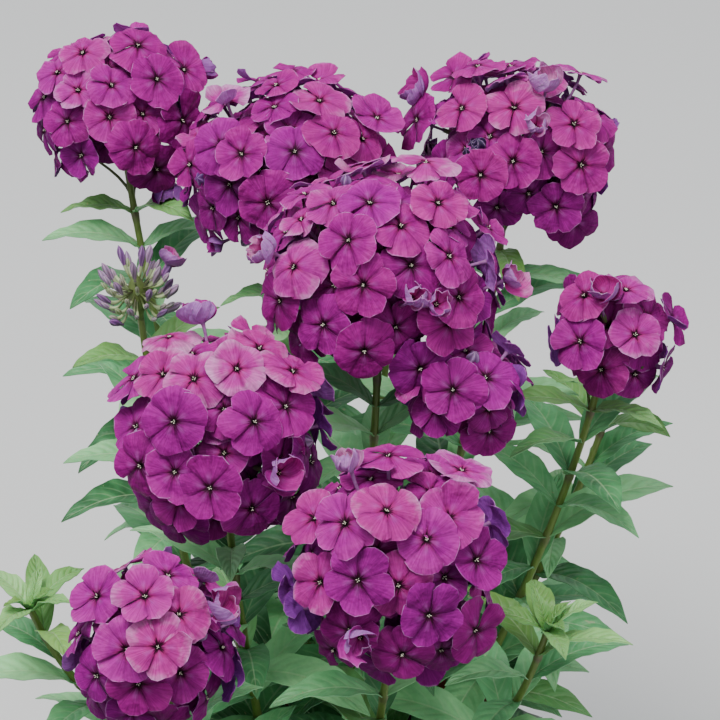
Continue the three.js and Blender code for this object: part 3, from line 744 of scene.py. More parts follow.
# Potting compost: damp peat and bark crumbs, dark brown and dull.
def compostMaterial():
    material, tree = newMaterial("potting compost")
    coordinates = addNode(tree, "ShaderNodeTexCoord")
    place = coordinates.outputs["Object"]
    crumbs = addNode(tree, "ShaderNodeTexNoise", {"Vector": place, "Scale": 1 / 0.0035, "Detail": 4.0})
    damp = addNode(tree, "ShaderNodeTexNoise", {"Vector": place, "Scale": 1 / 0.03})
    shade = addNode(tree, "ShaderNodeValToRGB", {"Fac": crumbs.outputs["Fac"]})
    shade.color_ramp.elements[0].position = 0.3
    shade.color_ramp.elements[0].color = colour("#1A120C")
    shade.color_ramp.elements[1].position = 0.75
    shade.color_ramp.elements[1].color = colour("#5A432F")
    dampShade = addNode(tree, "ShaderNodeMapRange", {"Value": damp.outputs["Fac"], "To Min": 0.7, "To Max": 1.2})
    wetted = addNode(
        tree, "ShaderNodeMixRGB", {"Fac": 1.0, "Color1": shade.outputs[0], "Color2": dampShade.outputs[0]},
        blend_type="MULTIPLY",
    ).outputs[0]
    bump = addNode(tree, "ShaderNodeBump", {"Height": crumbs.outputs["Fac"], "Strength": 0.8, "Distance": 0.0015})
    finishMaterial(tree, wetted, bump, **{"Roughness": 0.95})
    return material


materials = {
    "petal": petalMaterial(),
    "tube": tubeMaterial(),
    "anther": antherMaterial(),
    "stalk": stalkMaterial(),
    "bud": budMaterial(),
    "leaf": leafMaterial(),
    "stem": stemMaterial(),
    "clay": clayMaterial(),
    "compost": compostMaterial(),
}
print("materials made:", len(materials))


# Sizes that the frame also holds.
pot = {
    "height": 205,
    "footRadius": 86,
    "rimRadius": 118,
    "bandHeight": 34,
    "bandDepth": 5,
    "wall": 8,
    "floor": 12,
    "drains": 3,
    "drainRadius": 6,
    "drainRing": 44,
    "centreRing": 10,
    "sides": 144,
    "edge": 3,
    "wobble": 0.25,  # thrown by hand, so not quite round
}
soil = {
    "level": 178,
    "mound": 9,
    "lump": 2.2,
    "lumpReach": 8.3,
    "rings": 48,
    "sides": 96,
    "crumbs": 420,
}
stem = {
    "footRadius": 2.7,
    "topRadius": 2.0,
    "sides": 12,
    "rings": 60,
    "buried": 20,
    "lean": 1.35,
    "jointSwell": 0.28,  # thicker where leaves grow
    "jointReach": 0.011,  # of the length
}

# Flowering stems, with the pixels of the view where the eyes of florets lie: those seen full, raised on tubes
# that show, turned so that their backs show, half open, and deep between others. Buds are apart.
floweringStems = [
    {
        "name": "01", "foot": (6, -8), "centre": (27, -6, 540), "radius": 66, "halfHeight": 62,
        "pairs": 6, "firstTurn": 20, "budTint": 0.5,
        "eyes": [
            (401, 225), (349, 241), (281, 301), (322, 325), (451, 255), (333, 202), (370, 202), (363, 285),
            (412, 265), (438, 203), (463, 297), (364, 350), (452, 324), (295, 268), (420, 368),
        ],
        "raisedEyes": [(425, 167)],
        "backEyes": [(489, 261)],
        "halfOpenEyes": [(499, 283), (410, 301), (434, 305), (277, 255)],
        "deepEyes": [(331, 286), (381, 248), (400, 332), (480, 294), (424, 325), (456, 217)],
        "budEyes": [(345, 170), (300, 345)],
        "side": {
            "offset": (47, -36, -50), "radius": 36, "halfHeight": 32,
            "eyes": [(453, 390), (486, 377)],
            "backEyes": [(509, 350), (519, 389)],
            "deepEyes": [(492, 412), (432, 410)],
            "budEyes": [(475, 352)],
        },
    },
    {
        "name": "02", "foot": (-14, 30), "centre": (-28, 134, 532), "radius": 62, "halfHeight": 55,
        "pairs": 6, "firstTurn": 75, "budTint": 0.55,
        "eyes": [
            (334, 133), (295, 150), (268, 202), (242, 154), (320, 97), (376, 119), (221, 145), (226, 185),
            (195, 232),
        ],
        "backEyes": [(228, 120)],
        "halfOpenEyes": [(278, 229), (210, 264)],
        "deepEyes": [(385, 154), (347, 175), (257, 168), (264, 241), (300, 205)],
        "budEyes": [(205, 130), (196, 178), (232, 262)],
    },
    {
        "name": "03", "foot": (34, 44), "centre": (106, 150, 534), "radius": 59, "halfHeight": 53,
        "pairs": 6, "firstTurn": 10, "budTint": 0.95,
        "eyes": [
            (462, 109), (481, 175), (514, 107), (574, 124), (513, 161), (419, 121), (581, 165),
            (577, 227), (582, 74),
        ],
        "raisedEyes": [(478, 71)],
        "backEyes": [(506, 76)],
        "halfOpenEyes": [(409, 91), (545, 92), (533, 131)],
        "deepEyes": [(532, 197), (486, 87), (546, 150), (438, 160)],
        "budEyes": [(470, 141), (474, 148), (466, 149), (477, 138)],
    },
    {
        "name": "04", "foot": (-44, 48), "centre": (-131, 198, 534), "radius": 50, "halfHeight": 50,
        "pairs": 6, "firstTurn": 50, "budTint": 0.6,
        "eyes": [(157, 79), (157, 169), (181, 121), (138, 44), (184, 70), (135, 147)],
        "halfOpenEyes": [(205, 72), (172, 199)],
        "deepEyes": [(143, 110), (204, 100)],
        "budEyes": [(200, 160)],
    },
    {
        "name": "05", "foot": (-36, -20), "centre": (-60, -88, 486), "radius": 55, "halfHeight": 58,
        "pairs": 5, "firstTurn": 65, "budTint": 0.4,
        "eyes": [
            (194, 378), (237, 368), (174, 422), (210, 488), (254, 422), (286, 406), (253, 510), (260, 347),
            (178, 524), (135, 380), (142, 465),
        ],
        "raisedEyes": [(165, 331), (292, 376)],
        "backEyes": [(140, 352), (316, 392), (320, 425)],
        "halfOpenEyes": [(205, 330), (276, 472)],
        "deepEyes": [(224, 407), (221, 450), (286, 462)],
        "budEyes": [(316, 440), (132, 430)],
    },
    {
        "name": "06", "foot": (12, -42), "centre": (34, -160, 450), "radius": 56, "halfHeight": 64,
        "pairs": 4, "firstTurn": 30, "budTint": 0.5,
        "eyes": [
            (346, 524), (387, 511), (427, 539), (358, 580), (399, 587), (429, 615), (320, 582), (402, 656),
            (474, 630), (477, 560), (450, 517), (315, 518), (349, 631),
        ],
        "raisedEyes": [(388, 460), (462, 472)],
        "backEyes": [(292, 588), (303, 608), (492, 522)],
        "halfOpenEyes": [(353, 476), (361, 634)],
        "deepEyes": [(376, 549), (433, 487), (485, 500), (433, 465), (450, 580), (370, 470)],
        "budEyes": [(300, 560), (445, 675)],
    },
    {
        "name": "07", "foot": (-36, -58), "centre": (-92, -192, 425), "radius": 45, "halfHeight": 50,
        "pairs": 4, "firstTurn": 80, "budTint": 0.55,
        "eyes": [(145, 596), (158, 647), (179, 614), (169, 572), (125, 650), (138, 686)],
        "backEyes": [(206, 598), (236, 674)],
        "halfOpenEyes": [(213, 614)],
        "deepEyes": [(181, 676), (205, 650)],
        "budEyes": [(205, 630), (120, 590)],
    },
    {
        "name": "08", "foot": (58, 8), "centre": (158, 28, 478), "radius": 37, "halfHeight": 37,
        "pairs": 5, "firstTurn": 15, "budTint": 0.6,
        "eyes": [(581, 342), (585, 297)],
        "backEyes": [(554, 343)],
        "halfOpenEyes": [(602, 300)],
        "deepEyes": [(600, 372)],
        "budEyes": [(575, 275)],
    },
]
buddingStem = {
    "name": "09", "foot": (-60, 10), "centre": (-114, 72, 478), "radius": 22, "halfHeight": 26,
    "pairs": 5, "firstTurn": 40, "openingEye": (169, 262),
}
shoots = [
    {"name": "01", "foot": (50, -36), "tip": (118, -112, 372), "pairs": 4, "firstTurn": 60},
    {"name": "02", "foot": (-66, -22), "tip": (-168, -92, 372), "pairs": 4, "firstTurn": 15},
    {"name": "03", "foot": (62, 36), "tip": (166, 96, 392), "pairs": 4, "firstTurn": 45},
    {"name": "04", "foot": (0, 66), "tip": (34, 176, 404), "pairs": 4, "firstTurn": 5},
]

head = {
    "leanShare": 0.55,
    "coverDegrees": 118,
    "coreShare": 0.6,
    "faceUp": 0.28,
    "tries": 0.02,  # places tried for each square millimetre of a dome
    "clear": 18.5,  # least distance between florets that fill in
    "innerShare": 0.66,  # a few more florets stand this deep and fill the dome
    "innerClear": 20,
    "toView": 0.18,  # the placed florets turn a little to where they are seen from
    "raisedBack": 0.2,  # raised florets face up and this much to the back
    "turnAway": 0.9,
    "sinks": (0, 1.5, 3, 4.5, 6, 7.5, 9, 10.5),  # further depths tried
    "sinkCost": 0.12,
    "slopes": (0.14, 0.28),  # how far florets may lean from their own way, to part from their neighbours
    "leanCost": 1.5,
    "foldRoom": 0.6,  # how near a face is in the way of a petal that folds up, of its radius
    "closedBowl": (0.45, 0.7, 0.0),  # radius and rise of a half-open floret, of its size
    "margin": 2.0,
    "standOut": (-1, 5),  # how far florets stand proud of a true dome, in view and filling in
    "fillOut": (-2.5, 2.5),
    "looseBelow": 0.08,  # share of the fillers left out low on a dome
    "sway": 0.26,
    "nodeShare": 0.36,  # where stalks branch, of the way from the middle
    "florets": 4,  # on each branch
}


# A stem's line, as the frame has it: a cubic curve that leaves the soil leaning out and turns up to its end.
def stemControls(foot, end, endWay):
    start = np.array([*foot, soil["level"]], float)
    span = end - start
    leave = unit(span * [stem["lean"], stem["lean"], 1])
    reach = np.linalg.norm(span) / 3
    return np.array([start, start + leave * reach, end - endWay * reach, end]), leave


def headAxis(plan):
    lean = head["leanShare"] * (np.array(plan["centre"][:2]) - plan["foot"])
    return unit(np.array([*lean, plan["centre"][2] - soil["level"]]))


# Points spaced evenly over a dome of radius one: the i-th lies acos(1 - cover (i + 1/2) / n) from the top and
# i golden angles round.
def spiralOver(count):
    i = np.arange(count)
    cover = 1 - cos(radians(head["coverDegrees"]))
    down = np.arccos(1 - cover * (i + 0.5) / count)
    turn = i * goldenAngle
    return np.stack([np.sin(down) * np.cos(turn), np.sin(down) * np.sin(turn), np.cos(down)], axis=-1)


# Where lines of sight meet a dome, on the sphere of radius one that it is stretched from. A line that
# passes by gives the outline's nearest point.
def seenOn(dome, pixels):
    start = (cameraPlace - dome["middle"]) @ dome["turn"] / dome["scale"]
    ways = sightWays(pixels) @ dome["turn"] / dome["scale"]
    squared = (ways * ways).sum(axis=1)
    nearest = -(ways @ start) / squared
    closest = start + nearest[:, None] * ways
    missed = (closest * closest).sum(axis=1)
    back = np.sqrt(np.maximum(1 - missed, 0) / squared)
    return unit(closest - back[:, None] * ways)


# The point of a line of sight that is nearest to a place.
def sightNear(pixel, place):
    way = unit(sightWays([pixel])[0])
    return cameraPlace + ((place - cameraPlace) @ way) * way


# How high a floret's face stands over its eye at a distance r: cup (r / R)^1.6 + bend r. Bowls hold R, cup
# and bend.
def bowlHeight(bowls, r):
    return bowls[..., 1] * (r / bowls[..., 0]) ** 1.6 + bowls[..., 2] * r


# Points over each floret's face, from its eye: rings of eight at 0.55 and 0.95 of its radius.
def facePoints(facings, bowls):
    turn = 2 * pi * np.arange(16) / 8
    r = bowls[:, :1] * np.repeat([0.55, 0.95], 8)
    local = np.stack([r * np.cos(turn), r * np.sin(turn), bowlHeight(bowls[:, None], r)], axis=-1)
    return local @ axesFor(facings, np.zeros(len(facings)))


# How far points reach through faces that they lie over: the less of how far they stand above each face and
# below it, each with a margin.
def reachThrough(points, eyes, facings, bowls):
    gap = points - eyes
    depth = (gap * facings).sum(axis=-1)
    r = np.sqrt(np.maximum((gap * gap).sum(axis=-1) - depth ** 2, 0))
    over = r < bowls[..., 0]
    depth = depth - bowlHeight(bowls, r)
    above = np.where(over, head["margin"] + depth, 0).max(axis=-1)
    below = np.where(over, head["margin"] - depth, 0).max(axis=-1)
    return np.maximum(np.minimum(above, below), 0).sum(axis=-1)


# Ways that each floret may face: its own, and leaning from it by each slope to six sides.
def leaningWays(facings):
    turn = 2 * pi * np.arange(6) / 6
    circle = np.stack([np.cos(turn), np.sin(turn)], axis=-1)
    leans = np.concatenate([np.zeros((1, 2)), *(slope * circle for slope in head["slopes"])])
    return unit(facings[:, None] + leans @ axesFor(facings, np.zeros(len(facings)))[:, :2])


# Sinks each floret along its way and leans it, as parts it best from the ones before it.
def settleFlorets(points, ways, facings, bowls):
    placed = points.copy()
    leaning = leaningWays(facings)
    count, leans, _ = leaning.shape
    rings = facePoints(leaning.reshape(-1, 3), np.repeat(bowls, leans, axis=0)).reshape(count, leans, -1, 3)
    chosen = np.zeros(count, int)
    sinks = np.array(head["sinks"])
    cost = head["leanCost"] * np.linalg.norm(leaning[0] - leaning[0, 0], axis=-1)[:, None] + head["sinkCost"] * sinks
    for i in range(1, count):
        tried = placed[i] - sinks[:, None] * ways[i]
        own = tried[:, None, None]
        before = placed[:i, None]
        faced = leaning[np.arange(i), chosen[:i]]
        clash = reachThrough(own + rings[i][:, None, None], before, faced[:, None], bowls[:i, None])
        clash += reachThrough(before + rings[np.arange(i), chosen[:i]], own, leaning[i][:, None, None, None], bowls[i])
        lean, sink = np.unravel_index(np.argmin(clash + cost), clash.shape)
        placed[i], chosen[i] = tried[sink], lean
    return placed, leaning[np.arange(count), chosen]


# Whether each petal has room to fold up: no other floret's face lies by its middle, were it half folded.
def roomToFold(points, facings, spins, sizes):
    turn = 2 * pi / 5 * np.arange(5)
    local = np.stack([0.6 * np.cos(turn), 0.6 * np.sin(turn), np.full(5, 0.45)], axis=-1)
    middles = points[:, None] + sizes[:, None, None] * (local @ axesFor(facings, spins))
    gap = middles[:, :, None] - points
    depth = (gap * facings).sum(axis=-1)
    aside = np.sqrt(np.maximum((gap * gap).sum(axis=-1) - depth ** 2, 0))
    near = (aside < sizes) & (np.abs(depth) < head["foldRoom"] * sizes)
    return (near.sum(axis=-1) <= 1)[:, :, None, None]


# Places on a dome at least the clearance from each other and from those taken: tries on a dense spiral, in a
# shuffled order, and each is kept where there is room.
def fillDome(taken, scale, clear, hidden, rng):
    area = 2 * pi * scale[0] * scale[2] * (1 - cos(radians(head["coverDegrees"])))
    tries = spiralOver(int(area * head["tries"]))
    tries = tries[~hidden(tries)]
    for point in rng.permutation(tries):
        if len(taken) == 0 or np.linalg.norm((taken - point) * scale, axis=1).min() > clear:
            taken = np.vstack([taken, point])
    return taken


# How far below a dome's surface florets of each kind lie at least, and their sizes as shares of the petals'.
floretKinds = {
    "eyes": {"depth": 0, "sizes": (1.0, 1.14)},
    "raisedEyes": {"depth": -6, "sizes": (1.04, 1.16)},
    "backEyes": {"depth": 0, "sizes": (0.85, 1.0)},
    "halfOpenEyes": {"depth": -8, "sizes": (0.6, 0.78)},
    "deepEyes": {"depth": 8, "sizes": (0.86, 1.04)},
    "fill": {"depth": 3, "sizes": (0.86, 1.04)},
    "inner": {"depth": 0, "sizes": (0.86, 1.04)},
}


# The florets of a dome: those in view, then others wherever there is room, then a loose layer inside.
def domeFlorets(dome, others, rng):
    scale = dome["scale"]

    def hidden(places):
        world = dome["middle"] + (places * scale) @ dome["turn"].T
        inside = [
            np.linalg.norm((world - other["middle"]) @ other["turn"] / other["scale"], axis=1) < share
            for other, share in others
        ]
        return np.any([np.zeros(len(places), bool), *inside], axis=0)

    pixels = [dome.get(kind, []) for kind in list(floretKinds)[:-2]]
    shown = seenOn(dome, sum(pixels, []))
    placed = fillDome(shown, scale, head["clear"], hidden, rng)
    low = (placed[:, 2] < 0) & (rng.uniform(0, 1, len(placed)) < head["looseBelow"])
    low[: len(shown)] = False
    placed = placed[~low]
    outer = len(placed)
    share = head["innerShare"]
    placed = np.vstack([placed, fillDome(np.zeros((0, 3)), scale * share, head["innerClear"], hidden, rng)])
    count = len(placed)
    counts = [*map(len, pixels), outer - len(shown), count - outer]
    kinds = np.repeat(list(floretKinds), counts)

    normals = unit(placed / scale) @ dome["turn"].T
    up = head["faceUp"] * (1 + np.maximum(0, -normals[:, 2:]))
    facings = normals + up * upWay + head["sway"] * rng.uniform(-1, 1, (count, 3))
    facings[kinds == "eyes"] -= head["toView"] * lookWay
    raised = kinds == "raisedEyes"
    facings[raised] = [0, head["raisedBack"], 1] + 0.35 * normals[raised] * viewRight
    facings[kinds == "backEyes"] += head["turnAway"] * lookWay
    facings = unit(facings)
    shares = np.where(kinds == "inner", share, 1.0)
    points = dome["middle"] + (placed * scale) @ dome["turn"].T * shares[:, None]
    smallest, largest = np.array([floretKinds[kind]["sizes"] for kind in kinds]).T
    sizes = petal["radius"] * rng.uniform(smallest, largest)
    least = np.array([floretKinds[kind]["depth"] for kind in kinds], float)
    least[kinds == "eyes"] -= rng.uniform(*head["standOut"], counts[0])
    least[len(shown) : outer] -= rng.uniform(*head["fillOut"], outer - len(shown))
    cups = rng.uniform(*petal["cups"], count)
    bends = rng.uniform(*petal["bends"], count)
    ways = facings.copy()
    ways[: len(shown)] = unit(ways[: len(shown)] - lookWay)
    points = points - least[:, None] * ways
    bowls = np.stack([sizes, cups, np.radians(bends) / 2], axis=-1)
    closed = kinds == "halfOpenEyes"
    bowls[closed] = sizes[closed, None] * head["closedBowl"]
    points[:outer], facings[:outer] = settleFlorets(points[:outer], ways[:outer], facings[:outer], bowls[:outer])
    spins = rng.uniform(0, 2 * pi, count)
    return {
        "onSphere": placed * shares[:, None],
        "points": points,
        "facings": facings,
        "heights": placed[:, 2],
        "sizes": sizes,
        "cups": cups,
        "bends": bends,
        "spins": spins,
        "roomy": roomToFold(points, facings, spins, sizes),
        "furls": np.where(kinds == "halfOpenEyes", rng.uniform(*petal["furls"], count), 0.0),
        "groups": (len(shown), outer, count),
    }


petal = {
    "radius": 16.8,
    "throat": 1.3,
    "halfAngle": 42,  # neighbours are 36 degrees to each side, so they lap
    "halfSpread": 2.5,
    "grids": ((9, 9), (6, 7), (5, 5)),  # rows and columns: in view, filling in and inside
    "looseAngle": 4,  # petals of the loosest florets are this much narrower
    "notch": 0.13,  # the rim draws in by this share at a petal's corners
    "looseNotch": 0.13,
    "dents": (-0.06, 0.06),  # from a blunt point in the middle of the rim to a dent
    "notchPower": 2.8,
    "corner": 7,  # how far a petal's outer corner may curl
    "cornerFrom": 0.4,
    "funnel": 1.5,
    "funnelReach": 0.9,
    "thickness": 0.28,
    "lap": 1.1,
    "arch": 2.9,
    "lift": 1.9,
    "ruffle": 1.5,
    "sag": 0.8,
    "roll": 26,
    "rollFrom": 0.72,
    "ragged": 0.032,  # how uneven the rim is, of the radius
    "cups": (-3.2, 1.8),
    "bends": (-5, 8),  # degrees that a floret's petals bend up from foot to rim
    "bendSpread": 3,
    "folds": (45, 115),
    "foldShare": 0.035,  # of the petals, which fold up and show their backs
    "furls": (125, 172),  # petals of half-open florets stand up, close in and turn round each other
    "furlTurn": 55,
    "furlWider": 1.25,
}


# Five petals for each floret. For u from throat to rim, v from -1 to 1 across and R the floret's radius:
# angle = 72 k + v h, r = t + (R (1 - n |v|^p) - t) u, q = r / R, and the height over the face is
# cup q^1.6 - funnel e^((t - r) / f) - arch v^2 q + lap v q + twist v q^2 + lift q^1.4
# + ruffle q^4 sin(w v + phase) + sag q sin(2 pi q + phase) - roll max(0, q - q0)^2
# + corner q^3 max(0, side v - v0)^2. A bend b then takes s = r - t to x = b s / R, out = t + s sin(x) / x and
# up = s (1 - cos x) / x, with the height square to that.
def petalSheets(florets, rows, columns, rng):
    count = len(florets["points"])
    own = (count, 5, 1, 1)
    u = np.linspace(0, 1, rows)[None, None, :, None] ** 1.1
    v = np.sin(np.linspace(-1, 1, columns) * 1.25)[None, None, None, :] / sin(1.25)
    size = florets["sizes"][:, None, None, None]
    loose = rng.uniform(0, 1, (count, 1, 1, 1)) ** 2
    furl = florets["furls"][:, None, None, None]
    half = petal["halfAngle"] - petal["looseAngle"] * loose + petal["halfSpread"] * rng.uniform(-1, 1, own)
    half = half * np.where(furl > 0, petal["furlWider"], 1.0) * radians(1)
    length = size * rng.uniform(0.91, 1.05, own)
    notch = petal["notch"] * rng.uniform(0.7, 1.3, own) + petal["looseNotch"] * loose
    dent = rng.uniform(*petal["dents"], own) * np.exp(-((v / 0.3) ** 2))
    ragged = petal["ragged"] * rng.uniform(-1, 1, (count, 5, 1, columns))
    rim = length * (1 - notch * np.abs(v) ** petal["notchPower"] - dent + ragged)
    r = petal["throat"] + (rim - petal["throat"]) * u
    angle = 2 * pi / 5 * np.arange(5)[None, :, None, None] + v * half * (0.97 + 0.03 * u)
    q = r / size
    cup = florets["cups"][:, None, None, None]
    arch = petal["arch"] * rng.uniform(0.45, 1.4, own)
    bentBack = np.where(rng.uniform(0, 1, own) < 0.08, -4.0, 0.0)
    lift = petal["lift"] * rng.uniform(-1, 1, own) + bentBack
    twist = rng.uniform(-0.9, 0.9, own)
    ruffle = petal["ruffle"] * rng.uniform(0.2, 1, own)
    wave = np.sin(rng.uniform(2.6, 6.5, own) * v + rng.uniform(0, 2 * pi, own))
    roll = petal["roll"] * rng.uniform(-0.4, 1, own)
    side = np.where(rng.uniform(0, 1, own) < 0.5, -1.0, 1.0)
    corner = petal["corner"] * rng.uniform(-0.6, 1, own) ** 3
    height = (
        cup * q ** 1.6
        - petal["funnel"] * np.exp((petal["throat"] - r) / petal["funnelReach"])
        - arch * v ** 2 * q
        + petal["lap"] * v * q
        + twist * v * q ** 2
        + lift * q ** 1.4
        + ruffle * q ** 4 * wave
        + petal["sag"] * q * np.sin(2 * pi * q + rng.uniform(0, 2 * pi, own))
        - roll * np.maximum(0, q - petal["rollFrom"]) ** 2
        + corner * q ** 3 * np.maximum(0, side * v - petal["cornerFrom"]) ** 2
    )
    folded = (rng.uniform(0, 1, own) < petal["foldShare"]) & (furl == 0) & florets["roomy"]
    open = florets["bends"][:, None, None, None] + petal["bendSpread"] * rng.uniform(-1, 1, own)
    bend = furl + np.where(folded, rng.uniform(*petal["folds"], own), open)
    s = r - petal["throat"]
    x = radians(1) * bend * s / size
    out = petal["throat"] + s * np.sinc(x / pi) - height * np.sin(x)
    up = s * x / 2 * np.sinc(x / 2 / pi) ** 2 + height * np.cos(x)
    angle = angle + radians(petal["furlTurn"]) * (furl > 0) * up / size
    local = np.stack([out * np.cos(angle), out * np.sin(angle), up], axis=-1)
    axes = axesFor(florets["facings"], florets["spins"])
    shape = local.shape
    placed = local.reshape(count, -1, 3) @ axes + florets["points"][:, None]
    top = placed.reshape(count * 5, *shape[2:])
    grid = shape[:4]
    onEdge = np.zeros(grid)
    onEdge[:, :, -1, :] = 1
    # painted light: florets that face up and stand high in their dome get a lighter, pinker tone, as if in fuller
    # light, on top of a random tone of their own
    toneAndPaintedLight = 0.31 + 0.4 * (florets["facings"][:, 2] - 0.45) + 0.1 * florets["heights"]
    toneAndPaintedLight = toneAndPaintedLight + rng.uniform(-0.2, 0.24, count)
    tone = np.minimum(toneAndPaintedLight[:, None, None, None], 0.8) + rng.uniform(-0.07, 0.07, own)
    tone = tone + 0.25 * (furl > 0)
    # the hue leans to rose with the tone, so florets in painted light are painted warmer too
    warm = 0.55 * rng.uniform(0, 1, (count, 1, 1, 1)) + 0.5 * tone
    marks = {
        "ray": q,
        "across": np.broadcast_to(v, grid),
        "tone": np.broadcast_to(tone, grid),
        "edge": onEdge,
        "own": np.broadcast_to(rng.uniform(0, 1, own), grid),
        "warm": np.broadcast_to(warm, grid),
    }
    marks = {name: np.broadcast_to(values, grid).reshape(top.shape[:3]) for name, values in marks.items()}
    return closedSheets(top, petal["thickness"], marks)


# The florets in view have the most faces, then those that fill in, then those inside.
def petalParts(florets, rng):
    parts = []
    start = 0
    for end, (rows, columns) in zip(florets["groups"], petal["grids"]):
        group = {key: values[start:end] for key, values in florets.items() if key != "groups"}
        parts.append(petalSheets(group, rows, columns, rng))
        start = end
    return parts


tube = {
    "straight": 7,  # below the face, then it bends to its stalk
    "lipSides": 7,
    "calyxSides": 10,
    "calyxAt": (0.4, 0.66),  # of the way from the branch to the straight part
    "calyxRadius": 1.45,
    "toothLength": 2.6,
    "stalkRadius": 0.5,
}


# The line from a floret's branch to just below its face.
def stalkControls(nodes, points, facings):
    ends = points - tube["straight"] * facings
    reach = np.linalg.norm(ends - nodes, axis=1, keepdims=True)
    outward = unit(ends - nodes)
    return np.stack([nodes, nodes + 0.35 * reach * outward, ends - 0.4 * reach * facings, ends], axis=1)


# Tubes: rings along the stalk's line and up to the lip, then down inside to a closed bottom.
def tubeRods(controls, florets):
    t = np.array([0.6, 0.8, 1.0])
    below = np.array([4.0, 1.9, 1.35, 1.45, 3.5])
    radii = np.array([0.8, 0.88, 0.95, 1.05, 1.35, 1.62, 1.22, 0.6])
    inner = np.array([0, 0, 0, 0, 0, 1, 1, 1.0])
    facings = florets["facings"][:, None]
    straight = florets["points"][:, None] - below[:, None] * facings
    middles = np.concatenate([cubic(controls, t), straight], axis=1)
    ways = np.concatenate([cubicWay(controls, t), np.broadcast_to(facings, straight.shape)], axis=1)
    return rods(middles, ways, radii[:, None], tube["lipSides"], marks={"inner": inner[:, None]})


# Stalks, and calyxes whose rim rises in five teeth: reach = tooth (1 + cos 5 q) / 2.
def stalkRods(controls, seed):
    low, high = tube["calyxAt"]
    t = np.linspace(0, low + 0.02, 4)
    stalks = rods(cubic(controls, t), cubicWay(controls, t), tube["stalkRadius"], 5, marks={"flush": 0.75})
    sides = tube["calyxSides"]
    t = np.array([low, low + 0.05, high, high])
    radii = tube["calyxRadius"] * np.array([0.45, 0.85, 1.0, 0.8])
    teeth = np.zeros((4, sides))
    teeth[2] = tube["toothLength"] * (0.5 + 0.5 * np.cos(5 * 2 * pi * np.arange(sides) / sides))
    teeth[3] = teeth[2] - 0.2
    flush = 0.1 + 0.5 * chance(seed + np.arange(len(controls)))[:, None, None]
    calyxes = rods(
        cubic(controls, t), cubicWay(controls, t), radii[:, None], sides, teeth, {"flush": flush, "pale": 0.25}
    )
    return [stalks, calyxes]


anther = {"long": 0.66, "radius": 0.3, "ring": 0.68, "depths": (0, 1.6), "count": 4}


# Pollen sacs in the throat: beads whose radius goes as the sine of the way along.
def antherBeads(florets, rng):
    count = florets["groups"][1]
    axes = axesFor(florets["facings"][:count], florets["spins"][:count])
    turn = 2 * pi * (np.arange(anther["count"]) / anther["count"] + rng.uniform(-0.06, 0.06, (count, 1)))
    ring = anther["ring"] * rng.uniform(0.5, 1.4, turn.shape)
    below = -rng.uniform(*anther["depths"], turn.shape)
    middles = np.stack([ring * np.cos(turn), ring * np.sin(turn), below], axis=-1) @ axes
    middles = (middles + florets["points"][:count, None]).reshape(-1, 3)
    lean = np.stack([0.7 * np.cos(turn), 0.7 * np.sin(turn), np.ones_like(turn)], axis=-1) @ axes
    ways = unit(lean).reshape(-1, 3)
    along = np.array([-0.8, 0.0, 0.8])
    centres = middles[:, None] + along[:, None] * anther["long"] * ways[:, None]
    radii = anther["radius"] * np.sqrt(1 - along ** 2)
    return rods(centres, ways[:, None], radii[:, None], 4)


# Branches inside a dome: florets are gathered to the nearest of a few ways, and each group's branch ends at
# the share of the mean of its places.
def branchNodes(dome, florets):
    placed = florets["onSphere"]
    groups = max(4, len(placed) // head["florets"])
    nearest = np.argmax(placed @ spiralOver(groups).T, axis=1)
    used, own = np.unique(nearest, return_inverse=True)
    total = np.zeros((len(used), 3))
    np.add.at(total, own, placed)
    mean = total / np.bincount(own)[:, None]
    nodes = mean * head["nodeShare"] * dome["scale"] - np.array([0, 0, 0.14 * dome["scale"][2]])
    return nodes, own


# The stalk on through the dome, and its branches, as cubic curves that leave it upwards.
def branchRods(dome, nodes, base):
    height = dome["scale"][2]
    top = np.array([0, 0, 0.02 * height])
    starts = np.zeros_like(nodes)
    starts[:, 2] = np.clip(nodes[:, 2] - 0.3 * height, -0.6 * height, top[2])
    rise = np.linalg.norm(nodes - starts, axis=1)[:, None] * 0.4 * upWay
    controls = np.stack([starts, starts + rise, nodes - 0.25 * (nodes - starts), nodes], axis=1)
    toWorld = dome["turn"].T
    controls = controls @ toWorld + dome["middle"]
    t = np.linspace(0, 1, 6)
    branches = rods(
        cubic(controls, t), cubicWay(controls, t), np.linspace(1.1, 0.75, 6)[:, None], 7, marks={"flush": 0.8}
    )
    axis = dome["turn"] @ upWay
    end = dome["middle"] + top @ toWorld
    through = np.array([base, base + 0.3 * (end - base), end - 8 * axis, end])[None]
    trunk = rods(
        cubic(through, t), cubicWay(through, t), np.linspace(stem["topRadius"], 1.2, 6)[:, None], 10,
        marks={"flush": np.linspace(0.3, 0.8, 6)[:, None]},
    )
    return [branches, trunk]


sideBranch = {
    "counts": (2, 3),  # of a small head and of a large one
    "largeRadius": 40,
    "below": (10, 34),  # from the stem's end down to where they leave it
    "endDegrees": (97, 112),  # from the top of the dome to where they end, at this share of its size
    "endShare": 0.8,
    "radii": (1.1, 0.7),
}


